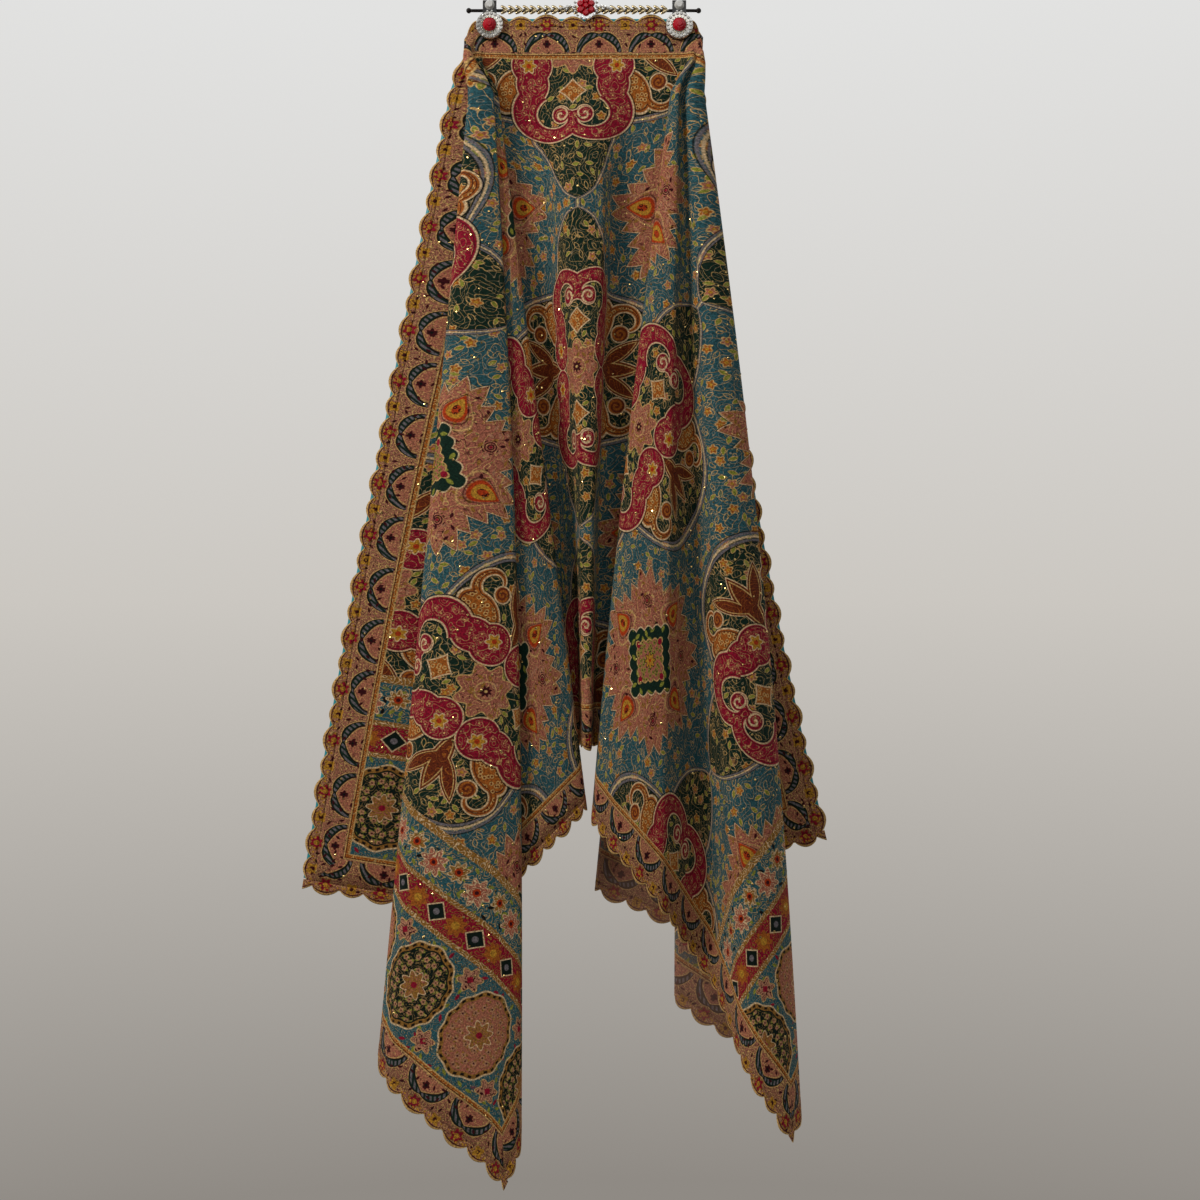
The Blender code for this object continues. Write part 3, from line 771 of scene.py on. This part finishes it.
def clothPrint(net):
    printed = net.node("ShaderNodeUVMap", {"uv_map": "print"})
    x, y, _ = printed.parts()
    colour = fieldPrint(net, x * 1000, y * 1000)
    true = net.node("ShaderNodeUVMap", {"uv_map": "cut"})
    x, y, _ = true.parts()
    u, v = x * 1000, y * 1000
    strip = net.node("ShaderNodeUVMap", {"uv_map": "rim"})
    rim, _, _ = strip.parts()
    long = v.least(1000 * cut["width"] - v)
    end = (u + 1000 * (cut["clipHalf"] + cut["leftWing"])).least(
        1000 * (cut["clipHalf"] + cut["rightWing"]) - u
    )

    # the bands across each end
    flat = net.vector(u, v)
    goldThread = vines(net, flat, 9, 5, 0.13, 5.0)
    thin = vines(net, flat, 7, 5, 0.07, 25.0)
    cx, cy, _, _ = scatter(net, flat, 5.5, 44.0)
    beading = away(cx, cy).below(1.3, 0.6)
    inPallu = end.below(bands["start"])
    colour = colour.over(inPallu, "teal")
    lx, ly, one, two = scatter(net, flat, 12, 31.0)
    leaves = leaf(net, lx, ly, one * 6.283, 4.8, 2.0).inside(0.4)
    # rosettes
    gap = (v - 34).fold(64.0)
    nearRose = end.band(bands["rosettes"], 25, 4)
    colour = colour.layers(
        (nearRose * goldThread * 0.7, "gold"),
        (nearRose * leaves * two.below(0.5, 0.02), "lime"),
        (nearRose * leaves * two.band(0.6, 0.08, 0.02), "ink"),
    )
    for centre, offset, reach, inner in ((244, 0, 15, "rose"), (252, 32, 11, "ochre")):
        rose, roseR = flower(net, end - centre, gap - offset, reach, 8)
        colour = colour.layers(
            (rose.inside() * inPallu, inner),
            (rose.inside() * goldThread, "cream"),
            (abs(rose).below(0.8) * inPallu, "cream"),
            (roseR.below(5) * inPallu, "flame"),
            (roseR.below(2.5) * inPallu, "wine"),
        )
    # red band with its square flowers
    redBand = end.band(bands["red"], bands["redHalf"])
    colour = colour.over(redBand, "crimson")
    colour = colour.over(redBand * goldThread, "ochre")
    gapTwo = (v - 12).fold(58.0)
    half = ring(end, gapTwo, bands["red"], 29)
    petals = (net.sum("ARCTAN2", end - bands["red"], gapTwo - 29) * 8).wave() * 2
    colour = colour.over((12 - half + petals).inside() * redBand, "orange")
    colour = colour.over(half.below(5) * redBand, "yellow")
    kite = 14 - (abs(end - bands["red"]) + gapTwo)
    colour = colour.layers(
        (kite.inside() * redBand, "greenDark"),
        (abs(kite).below(1.1) * redBand, "cream"),
        (ring(end, gapTwo, bands["red"], 0).below(4), "lilac"),
    )
    # cartouches, green and rose in turn
    low = end.below(bands["cartoucheZone"])
    colour = colour.layers(
        (low * thin * 0.6, "gold"),
        (low * leaves * two.below(0.4, 0.02), "lime"),
        (low * leaves * two.band(0.5, 0.06, 0.02), "crimson"),
    )
    pitch = bands["cartouchePitch"]
    along = v - bands["firstCartouche"]
    which = (along / pitch).wrap(2.0).below(1.0, 0.02)
    across = abs(along.wrap(pitch) - pitch / 2)
    up = abs(end - bands["cartouches"])
    wide, tall = across / bands["cartoucheWide"], up / bands["cartoucheTall"]
    box = away(wide, tall)
    lobes = (net.sum("ARCTAN2", up, across) * 12).wave() * 1.2
    shield = (1 - box) * 48 + lobes
    panel = net.blend(which, dyes["rose"], dyes["greenDark"])
    colour = colour.over(shield.inside() * low, "ochre")
    beads = (net.sum("ARCTAN2", tall, wide) * 30).wave().inside(1.0)
    colour = colour.over(abs(shield - 3).below(1.5) * beads * low, "ink")
    colour = colour.over((shield - 6).inside() * low, panel)
    inPanel = (shield - 8).inside() * low
    fx, fy, three, four = scatter(net, net.vector(across, up), 11, 8.0)
    sprout = leaf(net, fx, fy, three * 6.283, 6.0, 2.9).inside(0.4)
    colour = colour.over(inPanel * sprout, net.blend(which, dyes["ochre"], dyes["lime"]))
    budShape, budR = flower(net, fx, fy, 3.2, 5)
    colour = colour.layers(
        (inPanel * budShape.inside() * four.inside(0.2), "peach"),
        (inPanel * budR.below(1.2) * four.inside(0.2), "wine"),
        (inPanel * goldThread * 0.3, "gold"),
    )
    flowers, flowersR = flower(net, across, up, 15, 8)
    colour = colour.layers(
        (inPanel * flowers.inside(), "ochre"),
        (inPanel * flowers.inside() * goldThread, "rose"),
        (inPanel * abs(flowers).below(0.8), "cream"),
        (inPanel * flowersR.below(4.0), "crimson"),
        (abs(shield).below(0.9) * low, "cream"),
    )
    # sprigs in the gaps between them
    sideways = abs(across - pitch / 2)
    for centre in (62, 156):
        tuft, _ = flower(net, end - centre, sideways, 13, 6)
        colour = colour.layers(
            (tuft.inside() * low, "peach"),
            (tuft.inside() * low * goldThread, "wine"),
            (abs(tuft).below(0.7) * low, "gold"),
            ((5 - abs(end - centre) - sideways).inside() * low, "crimson"),
        )
    for middle, halfWide in ((277, 5), (219, 3.2), (177, 3.2)):
        colour = colour.over(end.band(middle, halfWide), "ochre")
        colour = colour.over(end.band(middle, halfWide) * goldThread, "cream")

    # the border all round, with its arches
    d = long.least(end)
    picks = (long - end).inside(2.0)
    s = u + (v - u) * picks
    x = (s - border["shift"]).fold(1000 * edge["repeat"])
    inBorder = d.below(border["width"])
    colour = colour.layers(
        (inBorder, "roseLight"),
        (inBorder * goldThread, "gold"),
        (inBorder * thin, "wine"),
    )
    arch = (1 - away(x / border["archWide"], (border["arches"] - d) / border["archTall"])) * 25
    under = (arch - 3).inside() * d.below(border["arches"]) * inBorder
    colour = colour.over(under, "rose")
    colour = colour.over(under * thin, "gold")
    swell = net.sum("SINE", x * (3.1416 / 29)) * 3.8 + 1.3
    leafEdge = swell - abs(arch)
    shown = x.below(31) * d.below(border["arches"])
    archMask = leafEdge.inside() * shown
    colour = colour.over(archMask, "green")
    dashes = (s * 0.95 + d * 0.6).wave().inside(0.9)
    colour = colour.layers(
        (archMask * dashes * abs(arch).below(2.6), "lilac"),
        (abs(leafEdge).below(0.7) * shown, "ink"),
        (leafEdge.band(-1.4, 0.5) * shown, "gold"),
    )
    small, smallR = flower(net, x, d - 23, 4.6, 5)
    colour = colour.over(small.inside(), "wine")
    colour = colour.over(smallR.below(1.7), "ink")
    spots = leaf(net, lx, ly, one * 6.283, 3.6, 1.5).inside(0.4)
    colour = colour.over(inBorder * spots * two.below(0.45, 0.02), "wine")
    big, bigR = flower(net, x, d + 2, 8.0, 6)
    colour = colour.layers(
        (big.inside(), "crimson"),
        (bigR.below(3.2), "yellow"),
        (abs(big).below(0.8), "ochre"),
    )
    other, otherR = flower(net, x - 500 * edge["repeat"], d + 2, 6.5, 4, math.pi)
    colour = colour.over(other.inside(), "yellow")
    colour = colour.over(otherR.below(2.6), "wine")
    goldBand = d.band(border["gold"], border["goldHalf"])
    colour = colour.over(goldBand, "orange")
    colour = colour.over(goldBand * goldThread, "gold")
    for line in (36.5, 42.5):
        colour = colour.over(d.band(line, 0.7), "gold")
    colour = colour.over(d.band(38.0, 0.5), "wine")
    # scallops, worked in gold round red beads
    lobed = d.below(-1.0)
    colour = colour.over(lobed * thin, "wine")
    colour = colour.over(lobed * beading, "yellow")
    # corded rim of the scallops
    colour = colour.over(rim.band(0.93, 0.09, 0.03), "gold")
    colour = colour.over(rim.band(0.74, 0.05, 0.04), "wine")
    return colour, flat, goldThread


def newFinish(name):
    mat = bpy.data.materials.new(name)
    mat.use_nodes = True
    return mat, mat.node_tree.nodes["Principled BSDF"].inputs, Wire(mat.node_tree)


def fineGrain(net, scale, detail):
    place = net.node("ShaderNodeTexCoord", None, None, 3)
    return net.node("ShaderNodeTexNoise", None, {"Vector": place, "Scale": scale, "Detail": detail})


def relief(net, height, strength, distance):
    values = {"Strength": strength, "Distance": distance, "Height": height}
    return net.node("ShaderNodeBump", None, values)


fabricMake = {"roughness": 0.78, "specular": 0.12, "sheen": 0.03, "contrast": 2.8, "thread": 5.2}


def fabric(name):
    mat, shader, net = newFinish(name)
    colour, flat, thread = clothPrint(net)
    # close stitches and slubs lighten and darken the dye
    grain = net.node(
        "ShaderNodeTexNoise",
        {"noise_dimensions": "2D"},
        {"Vector": flat, "Scale": 0.42, "Detail": 3.0, "Roughness": 0.75},
    )
    shade = net.sum("MULTIPLY_ADD", grain, fabricMake["contrast"], -0.44).most(0.2)
    shaded = net.node("ShaderNodeVectorMath", {"operation": "SCALE"}, {0: colour, "Scale": shade})
    shaded.into(shader["Base Color"])
    x, y, _ = flat.parts()
    weave = (x * fabricMake["thread"]).wave() * (y * fabricMake["thread"]).wave()
    height = weave * 0.25 + grain * 0.9 + thread * 0.9
    relief(net, height, 0.55, 0.0008).into(shader["Normal"])
    shader["Roughness"].default_value = fabricMake["roughness"]
    shader["Specular IOR Level"].default_value = fabricMake["specular"]
    shader["Sheen Weight"].default_value = fabricMake["sheen"]
    shader["Sheen Roughness"].default_value = 0.5
    return mat


printedSide = fabric("printedCloth")
# the wrong side shows the same print, faded
wrongSide = printedSide.copy()
wrongSide.name = "wrongSide"
backDye = wrongSide.node_tree.nodes["Principled BSDF"].inputs["Base Color"]
backColour = Wire(wrongSide.node_tree, backDye.links[0].from_socket)
backColour.over(0.4, "faded").into(backDye)
print("stage: print ready,", len(printedSide.node_tree.nodes), "nodes")


def finished(name, bm, materials, smoothFaces=True):
    mesh = bpy.data.meshes.new(name)
    bm.to_mesh(mesh)
    bm.free()
    for face in mesh.polygons:
        face.use_smooth = smoothFaces
    for mat in materials:
        mesh.materials.append(mat)
    obj = bpy.data.objects.new(name, mesh)
    scene.collection.objects.link(obj)
    return obj


def newSheet():
    bm = bmesh.new()
    bm.verts.layers.float_vector.new("cutPlace")
    return bm


def sheetOf(bm, columns, rows, cutAt):
    # a grid laid on the drape; cutAt gives the cut's place of each grid point
    made = bmesh.ops.create_grid(bm, x_segments=columns, y_segments=rows, size=1.0)
    layer = bm.verts.layers.float_vector.get("cutPlace")
    for vert in made["verts"]:
        i = round((vert.co.x + 1) / 2 * columns)
        j = round((vert.co.y + 1) / 2 * rows)
        u, v, rim = cutAt(i, j)
        vert[layer] = Vector((u, v, rim))
        vert.co = drape(u, v)


def writeMaps(bm):
    layer = bm.verts.layers.float_vector.get("cutPlace")
    maps = [bm.loops.layers.uv.new(name) for name in ("cut", "print", "rim")]
    places = {}
    for vert in bm.verts:
        u, v, rim = vert[layer]
        places[vert.index] = ((u, v), printPlace(u, v), (rim, 0.0))
    for face in bm.faces:
        for loop in face.loops:
            for uvLayer, place in zip(maps, places[loop.vert.index]):
                loop[uvLayer].uv = place


def turnPrintOut(bm):
    # turns each face whose cut place runs the wrong way round
    layer = bm.loops.layers.uv.get("cut")
    flip = []
    for face in bm.faces:
        at = [loop[layer].uv for loop in face.loops]
        if sum(p.x * q.y - q.x * p.y for p, q in zip(at, at[1:] + at[:1])) > 0:
            flip.append(face)
    bmesh.ops.reverse_faces(bm, faces=flip)


clothMake = {"rows": 60, "step": 0.42, "centre": 88, "thick": 0.0008, "sequinsEach": 1050}


def rayEnd(turn, length):
    a = math.radians(turn)
    reach = []
    if math.cos(a) > 1e-9:
        reach.append(length / math.cos(a))
    if math.sin(a) > 1e-9:
        reach.append(cut["width"] / math.sin(a))
    return min(reach)


def wingTurns(side):
    rows = leftFolds if side < 0 else rightFolds
    length = cut["leftWing"] if side < 0 else cut["rightWing"]
    corner = math.degrees(math.atan2(cut["width"], length))
    keys = sorted({row[0] for row in rows} | {corner})
    turns = []
    for a, b in zip(keys, keys[1:]):
        count = max(1, math.ceil((b - a) / clothMake["step"]))
        turns += [a + (b - a) * k / count for k in range(count)]
    return turns + [90.0], length


def rowShare(j):
    return (j / clothMake["rows"]) ** 1.35


def buildCloth():
    bm = newSheet()
    for side in (-1, 1):
        turns, length = wingTurns(side)

        def place(i, j):
            turn = turns[i]
            r = rayEnd(turn, length) * rowShare(j)
            if turn == 90.0:
                r = cut["width"] * rowShare(j)
                return side * cut["clipHalf"], r, 0.0
            a = math.radians(turn)
            return side * (cut["clipHalf"] + r * math.cos(a)), r * math.sin(a), 0.0

        sheetOf(bm, len(turns) - 1, clothMake["rows"], place)

    def between(i, j):
        u = -cut["clipHalf"] + 2 * cut["clipHalf"] * i / clothMake["centre"]
        return u, cut["width"] * rowShare(j), 0.0

    sheetOf(bm, clothMake["centre"], clothMake["rows"], between)
    bmesh.ops.remove_doubles(bm, verts=bm.verts, dist=0.00002)
    bmesh.ops.recalc_face_normals(bm, faces=bm.faces)
    bm.faces.ensure_lookup_table()
    towardBack = 0.0
    for face in bm.faces:
        middle = face.calc_center_median()
        if abs(middle.x) < 0.1 and middle.z > cut["clipZ"] - 0.1:
            towardBack += face.normal.y * face.calc_area()
    if towardBack > 0:
        bmesh.ops.reverse_faces(bm, faces=bm.faces)
    writeMaps(bm)
    return bm


def giveWall(obj, thick, offset=0.0):
    wall = obj.modifiers.new("wall", "SOLIDIFY")
    wall.thickness = thick
    wall.offset = offset
    wall.use_even_offset = False
    wall.material_offset = 1


clothMesh = buildCloth()
spots = []
for face in clothMesh.faces:
    if chance.random() < face.calc_area() * clothMake["sequinsEach"]:
        spots.append((face.calc_center_median(), face.normal.copy()))
cloth = finished("cloth", clothMesh, [printedSide, wrongSide])
giveWall(cloth, clothMake["thick"])
print("stage: cloth,", len(cloth.data.polygons), "faces")

edgingMake = {"step": 0.0026, "rows": 5, "thick": 0.0012, "under": 0.0006, "cornerReach": 0.010}


def buildEdging():
    bm = newSheet()
    leftEnd = -cut["clipHalf"] - cut["leftWing"]
    rightEnd = cut["clipHalf"] + cut["rightWing"]
    seam = cut["seam"]
    for name in ("top", "bottom", "left", "right"):
        low, high = leftEnd + seam, rightEnd - seam
        if name in ("left", "right"):
            low, high = -edgingMake["cornerReach"], cut["width"] + edgingMake["cornerReach"]
        count = math.ceil((high - low) / edgingMake["step"])

        def place(i, j):
            s = low + (high - low) * i / count
            share = j / edgingMake["rows"]
            under = edgingMake["under"]
            out = -under + (scallop(s) + under) * share  # its root is sewn under the cloth's rim
            if name == "top":
                return s, -out, share
            if name == "bottom":
                return s, cut["width"] + out, share
            if name == "left":
                return leftEnd - out, s, share
            return rightEnd + out, s, share

        sheetOf(bm, count, edgingMake["rows"], place)
    bmesh.ops.recalc_face_normals(bm, faces=bm.faces)
    writeMaps(bm)
    turnPrintOut(bm)
    return bm


edging = finished("edging", buildEdging(), [printedSide, wrongSide])
giveWall(edging, edgingMake["thick"])
print("stage: edging,", len(edging.data.polygons), "faces")


def satin(name, colour):
    mat, shader, net = newFinish(name)
    grain = fineGrain(net, 900, 2.0)
    net.blend(grain, colour, dyes["turquoise"]).into(shader["Base Color"])
    relief(net, grain, 0.3, 0.0003).into(shader["Normal"])
    shader["Roughness"].default_value = 0.5
    return mat


facingMake = {"columns": 500, "rows": 3, "start": 0.001, "wide": 0.0095, "behind": 0.0014, "thick": 0.0006}


def buildFacing():
    bm = newSheet()
    low = -cut["clipHalf"] - cut["leftWing"] + 0.002
    high = cut["clipHalf"] + cut["rightWing"] - 0.002
    columns, rows = facingMake["columns"], facingMake["rows"]

    def place(i, j):
        out = facingMake["start"] + facingMake["wide"] * j / rows
        return low + (high - low) * i / columns, -out, 0.0

    sheetOf(bm, columns, rows, place)
    bmesh.ops.recalc_face_normals(bm, faces=bm.faces)
    writeMaps(bm)
    turnPrintOut(bm)
    bm.normal_update()
    for vert in bm.verts:
        vert.co -= vert.normal * facingMake["behind"]  # behind the edging
    return bm


facing = finished("facing", buildFacing(), [satin("turquoiseSatin", paint("188c96"))])
giveWall(facing, facingMake["thick"])
facing.modifiers["wall"].material_offset = 0

# gold sequins
sequinMake = {"radius": 0.0017, "thick": 0.0003, "tilt": 0.25, "lift": 0.0009, "batch": 80}


def leanOf():
    return chance.uniform(-sequinMake["tilt"], sequinMake["tilt"])


sequinMesh = bmesh.new()
for count, (middle, normal) in enumerate(spots):
    if count % sequinMake["batch"] == 0:
        batch = bmesh.new()  # small batches keep this quick
    turn = normal.to_track_quat("Z", "Y").to_matrix().to_4x4()
    tilt = Matrix.Rotation(leanOf(), 4, "X") @ Matrix.Rotation(leanOf(), 4, "Y")
    where = Matrix.Translation(middle + normal * sequinMake["lift"])
    bmesh.ops.create_cone(
        batch,
        cap_ends=True,
        segments=6,
        radius1=sequinMake["radius"] * chance.uniform(0.7, 1.1),
        radius2=sequinMake["radius"] * 0.6,
        depth=sequinMake["thick"],
        matrix=where @ turn @ tilt,
    )
    if (count + 1) % sequinMake["batch"] == 0 or count == len(spots) - 1:
        part = bpy.data.meshes.new("batch")
        batch.to_mesh(part)
        batch.free()
        sequinMesh.from_mesh(part)
        bpy.data.meshes.remove(part)


def metal(name, colour, roughness, speck=0.06):
    mat, shader, net = newFinish(name)
    grain = fineGrain(net, 400, 4.0)
    darker = tuple(0.6 * c for c in colour[:3]) + (1,)
    net.blend(grain, darker, colour).into(shader["Base Color"])
    (grain * (2 * speck) + (roughness - speck)).into(shader["Roughness"])
    shader["Metallic"].default_value = 1.0
    return mat


def stone(name, colour, roughness, coat, specular):
    mat, shader, net = newFinish(name)
    light = tuple(min(1.0, c * 1.5) for c in colour[:3]) + (1,)
    net.blend(fineGrain(net, 700, 2.0), colour, light).into(shader["Base Color"])
    shader["Roughness"].default_value = roughness
    shader["Coat Weight"].default_value = coat
    shader["Coat Roughness"].default_value = 0.03
    shader["Specular IOR Level"].default_value = specular
    return mat


goldLeaf = metal("goldLeaf", paint("dcc79c"), 0.26)
silverMount = metal("silverMount", paint("c8c4bc"), 0.25)
darkWire = metal("darkWire", paint("3a3634"), 0.38)
crystal = stone("crystal", paint("a8a8a4"), 0.06, 1.0, 0.5)
ruby = stone("ruby", paint("9e0418"), 0.25, 0.1, 0.25)
sequins = finished("sequins", sequinMesh, [metal("sequinGold", paint("e2c07a"), 0.22)], False)
print("stage: sequins,", len(spots))


def plastic(name, colour, roughness):
    mat, shader, net = newFinish(name)
    grain = fineGrain(net, 600, 4.0)
    lighter = tuple(c * 1.5 + 0.004 for c in colour[:3]) + (1,)
    net.blend(grain, colour, lighter).into(shader["Base Color"])
    relief(net, grain, 0.15, 0.0002).into(shader["Normal"])
    shader["Roughness"].default_value = roughness
    return mat


blackClip = plastic("blackClip", paint("1c1a19"), 0.38)
for name, mat in (
    ("hanger", darkWire),
    ("clip_left", blackClip),
    ("clip_right", blackClip),
    ("rosette_left", silverMount),
    ("rosette_right", silverMount),
):
    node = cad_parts[name]
    for slotPlace in node.material_slots:
        slotPlace.material = mat


def gem(bm, centre, outward, radius, height, sides=8, spin=0.0):
    # a cut stone: a girdle, a crown and a flat table
    turn = outward.to_track_quat("Z", "Y").to_matrix().to_4x4() @ Matrix.Rotation(spin, 4, "Z")
    at = Matrix.Translation(centre) @ turn
    bmesh.ops.create_cone(
        bm,
        cap_ends=True,
        segments=sides,
        radius1=radius,
        radius2=radius * 0.58,
        depth=height,
        matrix=at @ Matrix.Translation((0, 0, height / 2)),
    )


jewel = {"ring": 0.0150, "goldRing": 0.0107, "stones": 18, "stone": 0.0024, "heart": 0.0090, "strap": 0.0275}
crystalMesh = bmesh.new()
rubyMesh = bmesh.new()
goldMesh = bmesh.new()
front = Vector((0, -1, 0))
for side in (-1, 1):
    centre = Vector((side * cut["clipHalf"], -0.0063, cut["clipZ"]))
    for k in range(jewel["stones"]):
        t = 2 * math.pi * k / jewel["stones"]
        out = Vector((math.cos(t), 0, math.sin(t)))
        gem(crystalMesh, centre + out * jewel["ring"], front, jewel["stone"], 0.0020, 8, t)
        gem(goldMesh, centre + out * jewel["goldRing"] + front * 0.0002, front, 0.0010, 0.0012, 6)
    gem(rubyMesh, centre + front * 0.0018, front, jewel["heart"], 0.0034, 12)
    gem(rubyMesh, centre + front * 0.0050, front, jewel["heart"] * 0.52, 0.0016, 12)
    # one large stone on the strap above the rosette, with two small ones under it
    strap = Vector((side * cut["clipHalf"], -0.0034, cut["clipZ"] + jewel["strap"]))
    gem(crystalMesh, strap, front, 0.0066, 0.0034, 12)
    for dx in (-0.0028, 0.0028):
        gem(crystalMesh, strap + Vector((dx, 0, -0.0085)), front, 0.0019, 0.0016)

# the gold braid of leaves along the rod, with its stones
braid = {"from": -0.1045, "to": 0.1045, "step": 0.0095, "leaf": 0.0060}
count = round((braid["to"] - braid["from"]) / braid["step"])
for k in range(count + 1):
    x = braid["from"] + braid["step"] * k
    for lift, lean in ((0.0022, 0.62), (-0.0022, -0.62)):
        at = (
            Matrix.Translation((x, -0.0029, cut["rodZ"] + lift))
            @ Matrix.Rotation(lean, 4, "Y")
            @ Matrix.Diagonal((1.0, 0.26, 0.38, 1.0))
        )
        bmesh.ops.create_icosphere(goldMesh, subdivisions=2, radius=braid["leaf"], matrix=at)
    if k % 2 == 0:
        gem(crystalMesh, Vector((x + braid["step"] / 2, -0.0034, cut["rodZ"])), front, 0.0017, 0.0016, 6)

# the middle spray: a red flower ringed with stones, and a row of stones at each side
spray = {
    "x": 0.002,
    "z": cut["rodZ"] + 0.0035,
    "petals": 6,
    "petalRing": 0.0080,
    "stones": 16,
    "stoneRing": 0.0153,
}


def sprayPlace(turn, reach, y):
    return Vector((spray["x"] + reach * math.cos(turn), y, spray["z"] + reach * math.sin(turn)))


for k in range(spray["petals"]):
    t = 2 * math.pi * k / spray["petals"] + math.pi / 6
    gem(rubyMesh, sprayPlace(t, spray["petalRing"], -0.0050), front, 0.0050, 0.0032, 8)
gem(rubyMesh, sprayPlace(0.0, 0.0, -0.0070), front, 0.0044, 0.0036, 8)
for k in range(spray["stones"]):
    t = 2 * math.pi * k / spray["stones"]
    gem(crystalMesh, sprayPlace(t, spray["stoneRing"], -0.0042), front, 0.0021, 0.0020, 8, t)
for k in range(4):
    for side in (-1, 1):
        out = side * (0.0198 + 0.0044 * k)
        at = Vector((spray["x"] + out, -0.0046, spray["z"] + 0.0004 - 0.0010 * k))
        gem(crystalMesh, at, front, 0.0023, 0.0022, 8)
for mesh in (crystalMesh, rubyMesh, goldMesh):
    bmesh.ops.recalc_face_normals(mesh, faces=mesh.faces)
crystals = finished("crystals", crystalMesh, [crystal], False)
rubies = finished("rubies", rubyMesh, [ruby], False)
goldwork = finished("goldwork", goldMesh, [goldLeaf])
print("stage: hanger trim")

for obj in (cloth, edging, facing, sequins, crystals, rubies, goldwork):
    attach(obj, "root")
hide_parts("cloth")
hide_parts("edging_top", "edging_bottom", "edging_left", "edging_right")
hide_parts("facing_top")

# room: pale floor, pale world, soft lights
room = {"floorZ": -2.3, "floorHalf": 1.25, "pale": paint("cfcac3")}
floorMesh = bmesh.new()
bmesh.ops.create_grid(floorMesh, x_segments=1, y_segments=1, size=room["floorHalf"],
                      matrix=Matrix.Translation((0, 0, room["floorZ"])))
floorPaint, floorSockets, _ = newFinish("paleFloor")
floorSockets["Base Color"].default_value = room["pale"]
floorSockets["Roughness"].default_value = 0.8
floor = finished("floor", floorMesh, [floorPaint], False)

world = bpy.data.worlds.new("paleRoom")
scene.world = world
world.use_nodes = True
air = Wire(world.node_tree)
upward = air.node("ShaderNodeTexCoord").parts()[2]
shadeOfAir = air.node(
    "ShaderNodeValToRGB",
    {"stops": [(0.0, paint("8f8a84")), (0.5, paint("cbc7c1")), (1.0, paint("e2e2e1"))]},
    {0: upward * 1.35 + 0.5},
)
# dimmer on the viewer's side, so that the folds keep their shadows
behind = air.node("ShaderNodeTexCoord").parts()[1]
dimmed = air.node(
    "ShaderNodeVectorMath",
    {"operation": "SCALE"},
    {0: shadeOfAir, "Scale": behind.inside(0.8) * 0.75 + 0.25},
)
dimmed.into(world.node_tree.nodes["Background"].inputs["Color"])


def softLight(name, place, target, size, power, colour=(1, 1, 1)):
    data = bpy.data.lights.new(name, "AREA")
    data.shape = "DISK"
    data.size = size
    data.energy = power
    data.color = colour
    obj = bpy.data.objects.new(name, data)
    obj.location = place
    obj.rotation_euler = (Vector(target) - Vector(place)).to_track_quat("-Z", "Y").to_euler()
    scene.collection.objects.link(obj)


softLight("key", (-2.2, -1.55, 0.75), (0, 0, -0.8), 0.8, 54, (1.0, 0.95, 0.90))
softLight("above", (0.1, -1.3, 0.7), (0, 0, -0.35), 0.9, 4)
softLight("fill", (1.9, -1.9, 0.3), (0, 0, -0.8), 1.4, 4, (1.0, 0.97, 0.93))
softLight("rear", (0.6, 2.4, 0.6), (0, 0, -0.8), 1.8, 24)

view = {"x": 0.0203, "z": -0.877, "distance": 1.9, "wide": 1.572}
cameraData = bpy.data.cameras.new("camera")
cameraData.sensor_width = 36
cameraData.lens = 36 * view["distance"] / view["wide"]
camera = bpy.data.objects.new("camera", cameraData)
camera.location = (view["x"], -view["distance"], view["z"])
camera.rotation_euler = (math.radians(90), 0, 0)
scene.collection.objects.link(camera)
scene.camera = camera
scene.view_settings.view_transform = "Standard"
